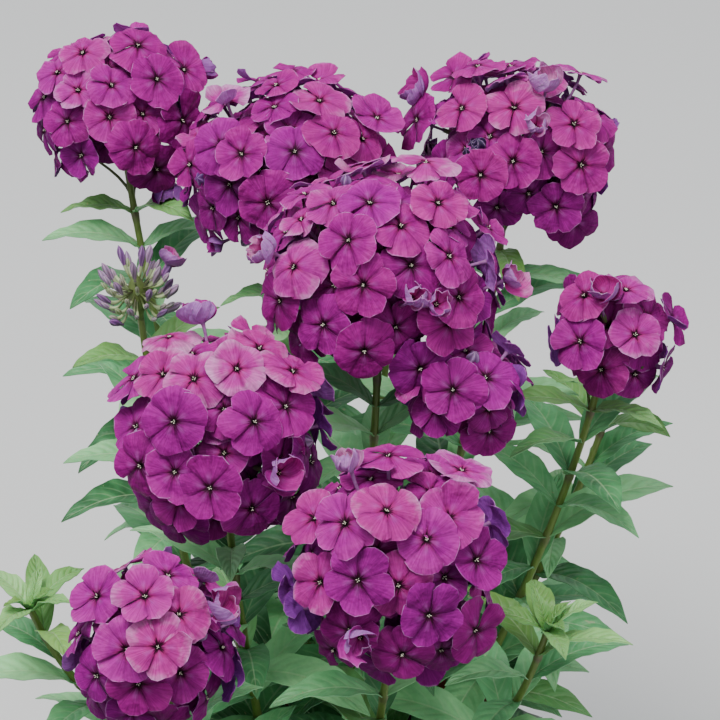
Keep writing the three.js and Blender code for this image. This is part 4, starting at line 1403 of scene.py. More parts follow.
# Branches that leave the stem between the top leaves and curve up into the sides of a dome.
def sideBranchRods(plan, dome, stemTop, rng):
    count = sideBranch["counts"][plan["radius"] > sideBranch["largeRadius"]]
    line, _ = stemControls(plan["foot"], stemTop, headAxis(plan))
    t = 1 - rng.uniform(*sideBranch["below"], count) / np.linalg.norm(line[3] - line[0])
    starts, ways = cubic(line, t), cubicWay(line, t)
    turn = rng.uniform(0, 2 * pi) + 2 * pi * (np.arange(count) + rng.uniform(-0.15, 0.15, count)) / count
    down = np.radians(rng.uniform(*sideBranch["endDegrees"], count))
    onSphere = np.stack([np.sin(down) * np.cos(turn), np.sin(down) * np.sin(turn), np.cos(down)], axis=-1)
    ends = dome["middle"] + (sideBranch["endShare"] * onSphere * dome["scale"]) @ dome["turn"].T
    reach = np.linalg.norm(ends - starts, axis=1, keepdims=True)
    outward = unit(ends - starts)
    leave = reach * unit(ways + 0.5 * outward)
    arrive = reach * unit(outward + 0.6 * ways)
    controls = np.stack([starts, starts + 0.35 * leave, ends - 0.3 * arrive, ends], axis=1)
    t = np.linspace(0, 1, 9)
    radii = np.linspace(*sideBranch["radii"], 9)[:, None]
    return rods(cubic(controls, t), cubicWay(controls, t), radii, 6, marks={"flush": 0.4})


closedBud = {"length": 15, "radius": 2.6, "sides": 20, "rings": 14, "twist": 2.6, "ridge": 0.1}
openingBud = {"bulgePower": 1.9, "ridge": 0.2, "length": 15, "radius": 3.5}


# Rolled buds: spindles along each way, r = R (0.42 (1 - s) + 0.9 sin(pi s^p)^0.9), with five ridges that turn
# as they rise: r (1 + d cos(5 q - twist s)). A higher power p moves the swelling to the tip.
def budSpindles(feet, ways, length, radius, tint, power=1.5, depth=closedBud["ridge"]):
    s = np.linspace(0.0, 1, closedBud["rings"])
    angle = 2 * pi * np.arange(closedBud["sides"]) / closedBud["sides"]
    ridge = np.cos(5 * angle - closedBud["twist"] * 5 * s[:, None] / 2)
    profile = 0.42 * (1 - s) + np.sin(pi * s ** power) ** 0.9 * 0.9 + 0.04
    radii = np.asarray(radius).reshape(-1, 1, 1) * profile[:, None] * (1 + depth * s[:, None] * ridge)
    centres = feet[:, None] + np.asarray(length).reshape(-1, 1, 1) * s[:, None] * ways[:, None]
    tints = np.broadcast_to(np.asarray(tint).reshape(-1, 1, 1), radii.shape)
    return rods(centres, ways[:, None], radii, closedBud["sides"], marks={"tint": tints, "ridge": ridge})


# Buds of a dome: each stands on its own stalk and calyx, a little past the florets.
def domeBuds(dome, nodes, tint, rng):
    onSphere = seenOn(dome, dome["budEyes"])
    points = dome["middle"] + (onSphere * dome["scale"]) @ dome["turn"].T
    normals = unit(onSphere / dome["scale"]) @ dome["turn"].T
    ways = unit(normals + 0.5 * upWay + 0.25 * rng.uniform(-1, 1, normals.shape))
    world = nodes @ dome["turn"].T + dome["middle"]
    nearest = np.argmin(np.linalg.norm(points[:, None] - world, axis=-1), axis=1)
    feet = points - openingBud["length"] * ways
    controls = np.stack(
        [world[nearest], world[nearest] * 0.6 + feet * 0.4, feet - 6 * ways, feet + 3 * ways], axis=1
    )
    tints = np.clip(tint + rng.uniform(-0.12, 0.12, len(points)), 0, 1)
    radius = openingBud["radius"] * rng.uniform(0.75, 1.15, len(points))
    length = openingBud["length"] * rng.uniform(0.85, 1.1, len(points))
    spindles = budSpindles(
        feet, ways, length, radius, tints, openingBud["bulgePower"], openingBud["ridge"]
    )
    t = np.linspace(0, 1, 8)
    swell = np.array([0.5, 0.5, 0.5, 0.55, 0.9, 1.15, 1.25, 1.2])
    stalks = rods(cubic(controls, t), cubicWay(controls, t), swell[:, None], 8, marks={"flush": 0.6})
    return spindles, stalks


def headDomes(plan):
    axis = headAxis(plan)
    turn = turnTo(axis)
    middle = np.array(plan["centre"], float)
    domes = []
    for part in [plan, plan["side"]] if "side" in plan else [plan]:
        scale = np.array([part["radius"], part["radius"], part["halfHeight"]], float)
        place = middle + turn @ np.array(part.get("offset", (0, 0, 0)), float)
        domes.append({**part, "middle": place, "turn": turn, "scale": scale})
    return domes


def makeHead(plan, number):
    rng = np.random.default_rng(number)
    domes = headDomes(plan)
    stemTop = domes[0]["middle"] - headAxis(plan) * plan["halfHeight"] * head["coreShare"]
    petals, tubes, stalks, anthers, buds, counts = [], [], [], [], [], []
    for i, dome in enumerate(domes):
        others = [(other, 1.0 if i else 0.9) for other in domes if other is not dome]
        florets = domeFlorets(dome, others, rng)
        nodes, own = branchNodes(dome, florets)
        world = nodes @ dome["turn"].T + dome["middle"]
        controls = stalkControls(world[own], florets["points"], florets["facings"])
        petals += petalParts(florets, rng)
        counts.append(len(florets["points"]))
        tubes.append(tubeRods(controls, florets))
        stalks += stalkRods(controls, 100 * number) + branchRods(dome, nodes, stemTop)
        anthers.append(antherBeads(florets, rng))
        spindles, budStalks = domeBuds(dome, nodes, plan["budTint"], rng)
        buds.append(spindles)
        stalks.append(budStalks)
    stalks.append(sideBranchRods(plan, domes[0], stemTop, np.random.default_rng(700 + number)))
    node = "flower_head_" + plan["name"]
    makePiece("petals_" + plan["name"], petals, materials["petal"], [node], sharpDegrees=70)
    makePiece("flower_tubes_" + plan["name"], tubes, materials["tube"], [node])
    makePiece("flower_stalks_" + plan["name"], stalks, materials["stalk"], [node])
    makePiece("anthers_" + plan["name"], anthers, materials["anther"], [node])
    makePiece("flower_buds_" + plan["name"], buds, materials["bud"], [node])
    print("flower head", plan["name"], "made with", sum(counts), "florets")


budHead = {"count": 22, "extra": 34, "length": 15, "radius": 2.6, "bellyShare": 0.35, "tipShare": 0.72,
           "rootShare": 0.3, "upturn": 0.5, "upturnSpread": 0.2, "seed": 40}


# The head in bud: the frame's buds, and smaller greener ones between them.
def makeBudHead(plan):
    rng = np.random.default_rng(budHead["seed"])
    axis = headAxis(plan)
    turn = turnTo(axis)
    middle = np.array(plan["centre"], float)
    scale = np.array([plan["radius"], plan["radius"], plan["halfHeight"]], float)
    big = spiralOver(budHead["count"])
    small = spiralOver(budHead["extra"] + 9)[9:] * [-1, 1, 1]
    onSphere = np.concatenate([big, small * 0.9])
    isSmall = np.repeat([0, 1], [len(big), len(small)])
    normals = unit(onSphere / scale)
    normals = unit(normals + head["faceUp"] * upWay)
    upturn = budHead["upturn"] + budHead["upturnSpread"] * chance(budHead["seed"] + np.arange(len(onSphere)))
    ways = unit(normals + upturn[:, None] * upWay)
    points = onSphere * scale
    roots = points * budHead["rootShare"]
    bellies = points - budHead["bellyShare"] * budHead["length"] * ways
    reach = budHead["tipShare"] * budHead["length"] * np.where(isSmall, 0.75, 1.0)
    tips = bellies + reach[:, None] * ways
    toWorld = turn.T
    roots, tips, ways = roots @ toWorld + middle, tips @ toWorld + middle, ways @ toWorld
    length = np.where(isSmall, 9.0, 14.0) * rng.uniform(0.85, 1.1, len(ways))
    radius = np.where(isSmall, 1.3, 1.8) * rng.uniform(0.85, 1.15, len(ways))
    tint = np.where(isSmall, 0.08, 0.34) + rng.uniform(-0.08, 0.22, len(ways))
    feet = tips - length[:, None] * ways
    spindles = budSpindles(feet, ways, length, radius, tint)
    controls = np.stack([roots, roots * 0.6 + feet * 0.4, feet - 2 * ways, feet + 3.5 * ways], axis=1)
    t = np.linspace(0, 1, 8)
    swell = np.array([0.6, 0.55, 0.5, 0.55, 0.8, 1.0, 1.1, 1.1])
    pale = np.where(isSmall, 0.9, 0.65)[:, None, None] * smoothStep((t - 0.35) / 0.3)[:, None]
    stalks = rods(
        cubic(controls, t), cubicWay(controls, t), swell[:, None], 8,
        marks={"flush": rng.uniform(0.1, 0.6, (len(ways), 1, 1)), "pale": pale},
    )
    base = -head["coreShare"] * plan["halfHeight"]
    knobAt = np.array([0, 0.12, 0.3, 0.55, 0.8, 1.0])
    knob = np.stack([0 * knobAt, 0 * knobAt, base + knobAt * 1.1 * plan["halfHeight"]], axis=-1)[None] @ toWorld
    core = rods(
        knob + middle, (axis * 1.0)[None, None], np.array([2.0, 2.2, 4.5, 6.0, 4.5, 1.0])[:, None], 12,
        marks={"flush": 0.25},
    )
    # one floret has begun to open and stands above the rest
    place = sightNear(plan["openingEye"], middle)
    facing = unit(place - middle + 0.4 * np.linalg.norm(place - middle) * upWay)
    opening = {
        "points": place[None], "facings": facing[None], "heights": np.ones(1), "sizes": np.array([9.0]),
        "spins": np.zeros(1), "furls": np.array([160.0]), "cups": np.zeros(1), "bends": np.zeros(1),
        "roomy": np.ones((1, 5, 1, 1), bool),
    }
    stalk = stalkControls(middle[None], opening["points"], opening["facings"])
    node = "bud_head_" + plan["name"]
    petals = petalSheets(opening, *petal["grids"][0], rng)
    makePiece("opening_petals_" + plan["name"], [petals], materials["petal"], [node])
    makePiece("opening_tube_" + plan["name"], [tubeRods(stalk, opening)], materials["tube"], [node])
    makePiece("young_buds_" + plan["name"], [spindles], materials["bud"], [node])
    stalks = [stalks, core, *stalkRods(stalk, budHead["seed"])]
    makePiece("bud_stalks_" + plan["name"], stalks, materials["stalk"], [node])
    print("bud head", plan["name"], "made")


leaf = {
    "widthShare": 0.27,
    "widthSpread": (1.0, 1.24),
    "foldDegrees": 13,
    "droopDegrees": 62,
    "rootDepth": 1.2,
    "wave": 1.1,
    "grids": ((24, 9), (16, 7)),  # rows and columns of the frame's leaves and of those between
    "thickness": 0.5,
    "widestAt": (0.8, 1.02),  # powers of the way from the root and from the tip
    "twistDegrees": 12,
    "ripple": 0.5,
    "ripples": 5,
    "groove": 0.5,
}
leafPlan = {
    "lowestShare": 0.3, "highestShare": 0.9, "lowLength": 96, "topLength": 62, "lowRise": 24, "topRise": 50,
    "turnSpread": 9, "riseSpread": 7, "lengthSpread": 0.08, "tipMatch": 0.3,
}
tipLeaf = {"count": 7, "lengths": (24, 46), "rises": (84, 38), "back": 1.5}
betweenLeaf = {
    "shares": (0.13, 0.2, 0.26),  # below the lowest pair, then one pair between each two
    "length": 78, "lengthFall": 22, "rise": 22, "riseGain": 30, "clear": 6.5, "reach": 120,
    "edge": 6,  # how far a leaf may reach past the frame
    "potClear": 5,
    "stemClear": 6,
}
leafBends = np.array(
    [
        (turn, rise, share)
        for share in (1, 0.86, 0.72, 0.58)
        for turn in (0, 14, -14, 28, -28, 42, -42)
        for rise in (0, 16, -16, 30)
    ],
    float,
)


# The midrib at a share t of its length L: it leaves the stem at the rise and turns down evenly by the droop,
# so its angle is e = rise - droop t and it lies L (sin rise - sin e) / droop out and
# L (cos e - cos rise) / droop up. Gives the point, the way out, the way across and the normal.
def midrib(roots, turns, rises, lengths, t):
    droop = radians(leaf["droopDegrees"])
    angle = rises - droop * t
    out = np.stack([np.cos(turns), np.sin(turns), 0 * turns], axis=-1)
    across = np.stack([-np.sin(turns), np.cos(turns), 0 * turns], axis=-1)
    along = lengths * (np.sin(rises) - np.sin(angle)) / droop
    high = lengths * (np.cos(angle) - np.cos(rises)) / droop
    points = roots + along[..., None] * out + high[..., None] * upWay
    normals = -np.sin(angle)[..., None] * out + np.cos(angle)[..., None] * upWay
    return points, out, across, normals


# The frame bends each leaf clear of what it would cross. Every bend is worked out here, and the leaf takes
# the one whose tip is a corner of the frame's stem; a leaf with none is left out there too.
def standingLeaves(plan, controls, seed, node):
    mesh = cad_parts[node].data
    corners = np.zeros(3 * len(mesh.vertices), np.float32)
    mesh.vertices.foreach_get("co", corners)
    corners = corners.reshape(-1, 3) / toMetres
    found = []
    for pair in range(plan["pairs"]):
        height = pair / (plan["pairs"] - 1)
        share = leafPlan["lowestShare"] + (leafPlan["highestShare"] - leafPlan["lowestShare"]) * height
        root = cubic(controls, np.array([share]))[0]
        for side in (0, 1):
            n = seed + 10 * pair + side
            turn = plan["firstTurn"] + 90 * pair + 180 * side + leafPlan["turnSpread"] * spread(n)
            rise = leafPlan["lowRise"] + (leafPlan["topRise"] - leafPlan["lowRise"]) * height
            rise += leafPlan["riseSpread"] * spread(n + 500)
            full = leafPlan["lowLength"] + (leafPlan["topLength"] - leafPlan["lowLength"]) * height ** 1.5
            length = full * (1 + leafPlan["lengthSpread"] * spread(n + 900))
            turns = np.radians(turn + leafBends[:, 0])
            rises = np.radians(rise + leafBends[:, 1])
            lengths = length * leafBends[:, 2]
            tips = midrib(root, turns, rises, lengths, 1.0)[0]
            misses = np.linalg.norm(tips[:, None] - corners, axis=-1).min(axis=1)
            best = np.argmin(misses)
            if misses[best] < leafPlan["tipMatch"]:
                found.append((*root, turns[best], rises[best], lengths[best], height))
    return np.array(found)


# A few points of each leaf that tell where it is: five along by three across.
def leafProbes(roots, turns, rises, lengths):
    t = np.array([0.25, 0.45, 0.65, 0.83, 1.0])
    points, _, across, _ = midrib(
        roots[:, None], turns[:, None], rises[:, None], lengths[:, None], np.broadcast_to(t, (len(turns), 5))
    )
    half = 0.5 * leaf["widthShare"] * lengths[:, None] * np.array([0.9, 1.0, 0.8, 0.5, 0.0])
    side = np.array([-0.8, 0.0, 0.8])
    probes = points[:, :, None] + (half[..., None] * side)[..., None] * across[:, :, None]
    return probes.reshape(len(turns), -1, 3)


# How near each bend's probes come to points that lie within reach of its root.
def closest(probes, points, root):
    near = points[np.linalg.norm(points - root, axis=1) < betweenLeaf["reach"]]
    if len(near) == 0:
        return np.full(len(probes), np.inf)
    return np.linalg.norm(probes[:, :, None] - near, axis=-1).min(axis=(1, 2))


# Leaves that the frame leaves out: pairs below and between its own. Each takes the first bend that clears
# the leaves, stems and heads round it and stays over the pot, and one with no such bend is left out.
def leavesBetween(plan, controls, seed, taken, lines, domes):
    joints = np.linspace(leafPlan["lowestShare"], leafPlan["highestShare"], plan["pairs"])
    shares = [*betweenLeaf["shares"], *(joints[:-1] + joints[1:]) / 2]
    found = []
    for level, share in enumerate(shares):
        root = cubic(controls, np.array([share]))[0]
        for side in (0, 1):
            n = seed + 300 + 10 * level + side
            turn = plan["firstTurn"] + 45 + 90 * level + 180 * side + 22 * spread(n)
            rise = betweenLeaf["rise"] + betweenLeaf["riseGain"] * share + leafPlan["riseSpread"] * spread(n + 500)
            length = betweenLeaf["length"] - betweenLeaf["lengthFall"] * share
            length = length * (1 + 2 * leafPlan["lengthSpread"] * spread(n + 900))
            turns = np.radians(turn + leafBends[:, 0])
            rises = np.radians(rise + leafBends[:, 1])
            lengths = length * leafBends[:, 2]
            roots = np.broadcast_to(root, (len(turns), 3))
            probes = leafProbes(roots, turns, rises, lengths)
            blocked = closest(probes, taken, root) < betweenLeaf["clear"]
            blocked |= closest(probes[:, 3:], lines, root) < betweenLeaf["stemClear"]
            for dome in domes:
                inHead = np.linalg.norm((probes - dome["middle"]) @ dome["turn"] / dome["scale"], axis=-1) < 1.08
                blocked |= inHead.any(axis=1)
            aside = np.linalg.norm(probes[..., :2], axis=-1)
            onRim = (aside > innerRadius(soil["level"])) & (probes[..., 2] < pot["height"] + betweenLeaf["potClear"])
            inSoil = probes[..., 2] < soil["level"] + soil["mound"] + betweenLeaf["potClear"]
            below = np.array(cadLow) / toMetres - betweenLeaf["edge"]
            above = np.array(cadHigh) / toMetres + betweenLeaf["edge"]
            outside = ((probes < below) | (probes > above)).any(axis=-1)
            blocked |= (onRim | inSoil | outside).any(axis=1)
            free = np.flatnonzero(~blocked)
            if len(free):
                k = free[0]
                found.append((*root, turns[k], rises[k], lengths[k], share))
                taken = np.vstack([taken, probes[k]])
    return np.array(found).reshape(-1, 7), taken


# Blades: for t from root to tip and s from -1 to 1 across, the half width is c t^a (1 - t)^b, one at its
# widest, and the surface stands over the midrib by w |s| tan(fold) + wave s |s| cos(pi (t - 0.2) / 0.27)
# + ripple |s|^3 sin(2 pi n t + phase) - groove e^-(s / 0.1)^2.
def leafSheets(leaves, rows, columns, rng):
    count = len(leaves)
    own = (count, 1, 1)
    roots = leaves[:, None, None, :3]
    turns, rises, lengths = (leaves[:, None, None, k] for k in (3, 4, 5))
    t = np.linspace(0, 1, rows)[None, :, None] ** 0.92
    s = np.linspace(-1, 1, columns)
    s = (np.sign(s) * np.abs(s) ** 1.25)[None, None, :]
    low, high = leaf["widestAt"]
    widest = low / (low + high)
    shape = (t / widest) ** low * (np.maximum(1 - t, 0) / (1 - widest)) ** high
    half = 0.5 * leaf["widthShare"] * lengths * np.maximum(shape, 0.035 * (1 - t) + 0.004)
    half = half * rng.uniform(*leaf["widthSpread"], own)
    points, out, across, normals = midrib(roots, turns, rises, lengths, t)
    start = smoothStep(1 - t / 0.06)
    points = points - (leaf["rootDepth"] * start)[..., None] * out
    twist = radians(leaf["twistDegrees"]) * rng.uniform(-1, 1, own) * t
    turned = np.cos(twist)[..., None] * across + np.sin(twist)[..., None] * normals
    square = np.cos(twist)[..., None] * normals - np.sin(twist)[..., None] * across
    size = np.abs(s)
    narrow = np.minimum(1, shape * 1.5)
    over = (
        half * size * tan(radians(leaf["foldDegrees"]))
        + leaf["wave"] * s * size * np.cos(pi * (t - 0.2) / 0.27) * narrow
        + leaf["ripple"] * size ** 3 * np.sin(2 * pi * leaf["ripples"] * t + rng.uniform(0, 2 * pi, own) + s) * narrow
        - leaf["groove"] * np.exp(-((s / 0.1) ** 2)) * narrow
    )
    top = points + (half * s)[..., None] * turned + over[..., None] * square
    grid = top.shape[:3]
    tone = 0.45 + 0.13 * leaves[:, 6] + rng.uniform(-0.34, 0.42, count)
    young = 0.5 * (leaves[:, 6] >= 1) + 0.25 * (rng.uniform(0, 1, count) < 0.08)
    marks = {
        "along": np.broadcast_to(t, grid),
        "across": np.broadcast_to(s, grid),
        "tone": np.broadcast_to(tone[:, None, None], grid),
        "young": np.broadcast_to(young[:, None, None], grid),
    }
    return closedSheets(top, leaf["thickness"], marks)


# A stem: its line with a swelling at each pair of leaves.
def stemRod(controls, leave, pairs):
    t = np.linspace(0, 1, stem["rings"])
    joints = np.linspace(leafPlan["lowestShare"], leafPlan["highestShare"], pairs)
    near = np.exp(-(((t[:, None] - joints) / stem["jointReach"]) ** 2)).sum(axis=1)
    radii = stem["footRadius"] + (stem["topRadius"] - stem["footRadius"]) * t
    radii = radii * (1 + stem["jointSwell"] * near)
    middles = np.concatenate([(controls[0] - stem["buried"] * leave)[None], cubic(controls, t)])
    ways = np.concatenate([leave[None], cubicWay(controls, t)])
    radii = np.concatenate([radii[:1], radii])
    flush = np.concatenate([[0.0], 0.12 + 0.45 * near + 0.25 * t ** 3])
    old = np.concatenate([[1.0], 0.9 * smoothStep(1 - t / 0.14)])
    return rods(
        middles[None], ways[None], radii[:, None], stem["sides"], marks={"flush": flush[:, None], "old": old[:, None]}
    )


# Young leaves at a shoot's tip: from the outermost pair to the innermost they shorten and stand up, each
# pair square to the last.
def tipLeaves(plan, controls, seed):
    inward = np.arange(tipLeaf["count"])
    share = inward / (tipLeaf["count"] - 1)
    turns = radians(plan["firstTurn"] + 45) + pi / 2 * (inward // 2) + pi * inward + 0.25 * spread(seed + inward)
    rises = np.radians(tipLeaf["rises"][1] + (tipLeaf["rises"][0] - tipLeaf["rises"][1]) * share)
    lengths = tipLeaf["lengths"][1] + (tipLeaf["lengths"][0] - tipLeaf["lengths"][1]) * share
    roots = controls[3] - tipLeaf["back"] * unit(controls[3] - controls[2])
    return np.column_stack([np.broadcast_to(roots, (len(inward), 3)), turns, rises, lengths, np.ones(len(inward))])


# Where every stem runs and ends: its plan, its node, its curve and the way it leaves the soil.
def planStems():
    lines = []
    for plan in [*floweringStems, buddingStem]:
        axis = headAxis(plan)
        top = np.array(plan["centre"], float) - axis * (plan["halfHeight"] * head["coreShare"] + 0.3)
        lines.append((plan, "leafy_stem_", *stemControls(plan["foot"], top, axis)))
    for plan in shoots:
        tip = np.array(plan["tip"], float)
        way = unit((tip - [*plan["foot"], soil["level"]]) * [1, 1, 2])
        lines.append((plan, "leafy_shoot_", *stemControls(plan["foot"], tip, way)))
    return lines


def makeLeafyStems():
    lines = planStems()
    domes = [dome for plan in [*floweringStems, buddingStem] for dome in headDomes(plan)]
    along = np.linspace(0, 1, 40)
    runs = np.concatenate([cubic(controls, along) for _, _, controls, _ in lines])
    own = [standingLeaves(plan, controls, 100 * (i + 1), kind + plan["name"])
           for i, (plan, kind, controls, _) in enumerate(lines)]
    probes = [leafProbes(leaves[:, :3], *leaves[:, 3:6].T) for leaves in own]
    taken = np.concatenate(probes).reshape(-1, 3)
    for i, (plan, kind, controls, leave) in enumerate(lines):
        rng = np.random.default_rng(501 + i)
        between, taken = leavesBetween(plan, controls, 100 * (i + 1), taken, runs, domes)
        if plan in shoots:
            between = np.vstack([between, tipLeaves(plan, controls, 100 * i)])
        blades = [leafSheets(own[i], *leaf["grids"][0], rng), leafSheets(between, *leaf["grids"][1], rng)]
        node = kind + plan["name"]
        name = plan["name"] if kind == "leafy_stem_" else "shoot_" + plan["name"]
        makePiece("stem_" + name, [stemRod(controls, leave, plan["pairs"])], materials["stem"], [node])
        makePiece("leaves_" + name, blades, materials["leaf"], [node], sharpDegrees=60)
        print(node, "made with", len(own[i]), "leaves and", len(between), "between")


# The pot's outer radius below its band, and its inner one.
def outerRadius(z):
    share = z / (pot["height"] - pot["bandHeight"])
    return pot["footRadius"] + (pot["rimRadius"] - pot["bandDepth"] - pot["footRadius"]) * share


def innerRadius(z):
    return min(outerRadius(z), pot["rimRadius"] - pot["bandDepth"]) - pot["wall"]


# An outline with each corner c between its ends rounded off over a length d: (1-t)^2 a + 2 t (1-t) c + t^2 b,
# where a and b lie d before and after it.
def roundedOutline(corners, cuts, steps=5):
    corners = np.array(corners, float)
    inner = corners[1:-1]
    cuts = np.array(cuts, float)[:, None]
    a = inner + unit(corners[:-2] - inner) * cuts
    b = inner + unit(corners[2:] - inner) * cuts
    t = np.linspace(0, 1, steps)[:, None]
    curve = (1 - t) ** 2 * a[:, None] + 2 * t * (1 - t) * inner[:, None] + t ** 2 * b[:, None]
    return np.concatenate([corners[:1], curve.reshape(-1, 2), corners[-1:]])


# The pot: its outline carried round Z, with a slow wobble e (sin 2q + sin(3q + 1)) in the radius.
def makePot():
    bandFoot = pot["height"] - pot["bandHeight"]
    corners = [
        (pot["centreRing"], 0),
        (pot["footRadius"], 0),
        (outerRadius(bandFoot), bandFoot),
        (pot["rimRadius"], bandFoot),
        (pot["rimRadius"], pot["height"]),
        (innerRadius(pot["height"]), pot["height"]),
        (innerRadius(bandFoot), bandFoot),
        (innerRadius(pot["floor"]), pot["floor"]),
        (pot["centreRing"], pot["floor"]),
    ]
    outline = roundedOutline(corners, [pot["edge"], 2.5, 1.8, pot["edge"], pot["edge"], 4, 4])
    sides = pot["sides"]
    angle = 2 * pi * np.arange(sides) / sides
    wobble = pot["wobble"] * (np.sin(2 * angle) + np.sin(3 * angle + 1)) - pot["wobble"]
    radius = outline[:, :1] + wobble
    height = np.broadcast_to(outline[:, 1:], radius.shape)
    points = np.stack([radius * np.cos(angle), radius * np.sin(angle), height], axis=-1).reshape(-1, 3)
    index = np.arange(len(points)).reshape(len(outline), sides)
    after = np.roll(index, -1, axis=1)
    walls = np.stack([index[:-1], after[:-1], after[1:], index[1:]], axis=-1).reshape(-1, 4)
    part = {"points": points, "faces": [walls, index[:1, ::-1], index[-1:]], "marks": {}}
    piece = makePiece("clay_pot", [part], materials["clay"], ["pot"], sharpDegrees=35)
    drillDrains(piece)
    print("pot made")


# Three round holes through the floor, cut by rods that are then taken away.
def drillDrains(piece):
    turn = 2 * pi * (np.arange(pot["drains"]) + 0.25) / pot["drains"]
    ring = pot["drainRing"] * np.stack([np.cos(turn), np.sin(turn)], axis=-1)
    ends = np.array([-5.0, pot["floor"] + 5.0])
    middles = np.concatenate(
        [np.repeat(ring[:, None], 2, axis=1), np.broadcast_to(ends[:, None], (len(ring), 2, 1))], axis=-1
    )
    cutter = makePiece(
        "drain_cutter", [rods(middles, upWay, pot["drainRadius"], 32)], materials["clay"]
    )
    modifier = piece.modifiers.new("drains", "BOOLEAN")
    modifier.object = cutter
    modifier.operation = "DIFFERENCE"
    modifier.solver = "EXACT"
    with bpy.context.temp_override(object=piece, active_object=piece):
        bpy.ops.object.modifier_apply(modifier="drains")
    bpy.data.objects.remove(cutter)


# Slow hills and hollows: the mean of sine waves in eight random ways, each 0.6 to 1.4 times the given length.
def rolling(x, y, length, rng):
    total = 0
    for _ in range(8):
        turn, phase = rng.uniform(0, 2 * pi, 2)
        stretch = length * rng.uniform(0.6, 1.4)
        total = total + np.sin(2 * pi * (x * cos(turn) + y * sin(turn)) / stretch + phase)
    return total / 8


# Soil: a dome of mound (1 - q^2), with lumps of three sizes, on a plain plug that fills the pot.
def makeSoil():
    rng = np.random.default_rng(77)
    fill = innerRadius(soil["level"]) - 0.3 - pot["wobble"]
    q = np.linspace(1, 0.02, soil["rings"])[:, None]
    angle = 2 * pi * np.arange(soil["sides"])[None, :] / soil["sides"]
    x, y = fill * q * np.cos(angle), fill * q * np.sin(angle)
    lumps = soil["lump"] * np.sin(x / soil["lumpReach"] + 1) * np.cos(y / soil["lumpReach"])
    fine = 1.6 * rolling(x, y, 9, rng) + 1.1 * rolling(x, y, 4, rng)
    inner = smoothStep((1 - q) / 0.03)
    z = soil["level"] + soil["mound"] * (1 - q ** 2) * 1.1 + (lumps * 0.7 + fine) * inner
    bottom = pot["floor"] + 0.5
    foot = innerRadius(bottom) - 0.5 - pot["wobble"]
    base = np.stack([foot * np.cos(angle), foot * np.sin(angle), np.full_like(angle, bottom)], axis=-1)
    wallTop = innerRadius(pot["height"] - pot["bandHeight"]) - 0.5 - pot["wobble"]
    knee = np.stack(
        [wallTop * np.cos(angle), wallTop * np.sin(angle), np.full_like(angle, pot["height"] - pot["bandHeight"])],
        axis=-1,
    )
    grid = np.concatenate([base, knee, np.stack([x, y, z], axis=-1)])
    index = np.arange(grid.shape[0] * soil["sides"]).reshape(-1, soil["sides"])
    after = np.roll(index, -1, axis=1)
    walls = np.stack([index[:-1], after[:-1], after[1:], index[1:]], axis=-1).reshape(-1, 4)
    bed = {"points": grid.reshape(-1, 3), "faces": [walls, index[:1, ::-1], index[-1:]], "marks": {}}

    # crumbs: low lumps, each ring of which is pushed in and out at random
    count = soil["crumbs"]
    place = fill * 0.94 * np.sqrt(rng.uniform(0, 1, count))
    turn = rng.uniform(0, 2 * pi, count)
    size = 1.0 + 3.4 * rng.uniform(0, 1, count) ** 3
    x, y = place * np.cos(turn), place * np.sin(turn)
    z = soil["level"] + soil["mound"] * (1 - (place / fill) ** 2) + rng.uniform(0, 2.6, count)
    ways = unit(rng.normal(0, 1, (count, 3)))
    along = np.array([-0.85, 0.1, 0.85])
    middles = np.stack([x, y, z], axis=-1)[:, None] + along[:, None] * size[:, None, None] * ways[:, None]
    radii = size[:, None, None] * np.sqrt(1 - along ** 2)[:, None] * rng.uniform(0.65, 1.15, (count, 3, 6))
    crumbs = rods(middles, ways[:, None], radii, 6)
    makePiece("compost", [bed], materials["compost"], ["soil"], sharpDegrees=80)
    makePiece("compost_crumbs", [crumbs], materials["compost"], ["soil"], sharpDegrees=40)
    print("soil made")


makePot()
makeSoil()
for i, plan in enumerate(floweringStems):
    makeHead(plan, i + 1)
makeBudHead(buddingStem)
makeLeafyStems()


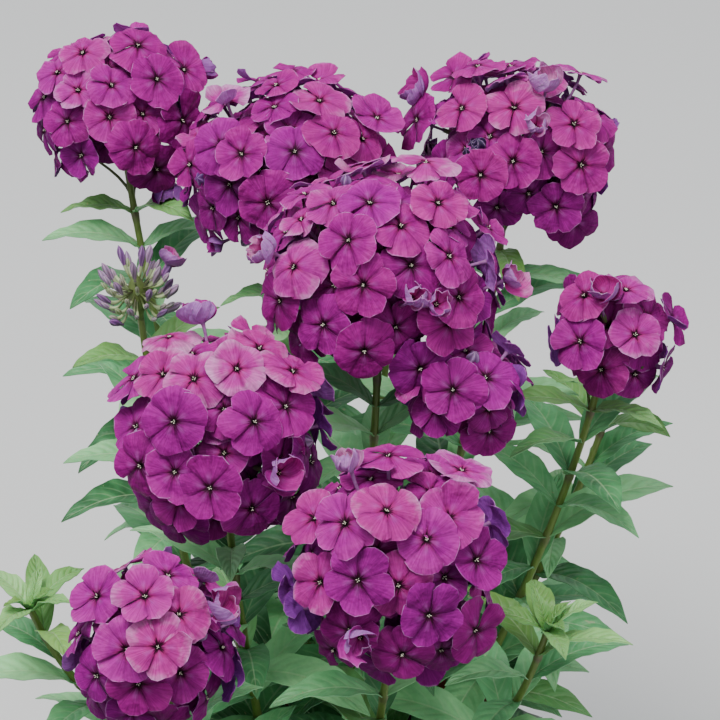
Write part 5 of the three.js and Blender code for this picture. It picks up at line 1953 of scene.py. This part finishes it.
studio = {
    "floorColour": "#F2F0EC",
    "skyColour": "#E6ECF4",
    "groundColour": "#1E1F20",
    "skyStrength": 0.75,
    "lights": [  # name, place in metres, size, power
        ("key", (-0.6, -0.8, 3.0), 1.3, 76),
        ("fill", (1.6, -1.8, 1.7), 1.6, 12),
    ],
    "aim": (0.0, 0.0, 0.42),
}


def makeStudio():
    material, tree = newMaterial("pale paper floor")
    finishMaterial(tree, colour(studio["floorColour"]), **{"Roughness": 0.9})
    mesh = bpy.data.meshes.new("floor")
    mesh.from_pydata([(-20, -20, 0), (20, -20, 0), (20, 20, 0), (-20, 20, 0)], [], [(0, 1, 2, 3)])
    mesh.materials.append(material)
    floor = bpy.data.objects.new("floor", mesh)
    bpy.context.scene.collection.objects.link(floor)
    floor.visible_diffuse = False  # the pale floor throws no light up into the heads
    world = bpy.data.worlds.new("studio")
    world.use_nodes = True
    tree = world.node_tree
    tree.nodes.clear()
    way = addNode(tree, "ShaderNodeTexCoord").outputs["Generated"]
    height = addNode(tree, "ShaderNodeSeparateXYZ", {0: way}).outputs[2]
    share = addNode(tree, "ShaderNodeMapRange", {"Value": height, "From Min": -0.15, "From Max": 0.1}).outputs[0]
    dome = addNode(
        tree, "ShaderNodeMixRGB",
        {"Fac": share, "Color1": colour(studio["groundColour"]), "Color2": colour(studio["skyColour"])},
    ).outputs[0]
    background = addNode(tree, "ShaderNodeBackground", {"Color": dome, "Strength": studio["skyStrength"]})
    addNode(tree, "ShaderNodeOutputWorld", {"Surface": background.outputs[0]})
    bpy.context.scene.world = world
    for name, place, size, power in studio["lights"]:
        data = bpy.data.lights.new(name, "AREA")
        data.size = size
        data.energy = power
        light = bpy.data.objects.new(name, data)
        light.location = place
        way = np.array(studio["aim"]) - place
        light.rotation_euler = (np.arctan2(np.hypot(way[0], way[1]), -way[2]), 0, np.arctan2(-way[0], way[1]))
        bpy.context.scene.collection.objects.link(light)
    print("studio made")


makeStudio()

shown = [piece.data for piece in bpy.data.objects if piece.type == "MESH" and not piece.hide_render]
triangles = sorted((sum(len(face.vertices) - 2 for face in mesh.polygons), mesh.name) for mesh in shown)
print("triangles:", sum(count for count, name in triangles), "most:", triangles[-3:])
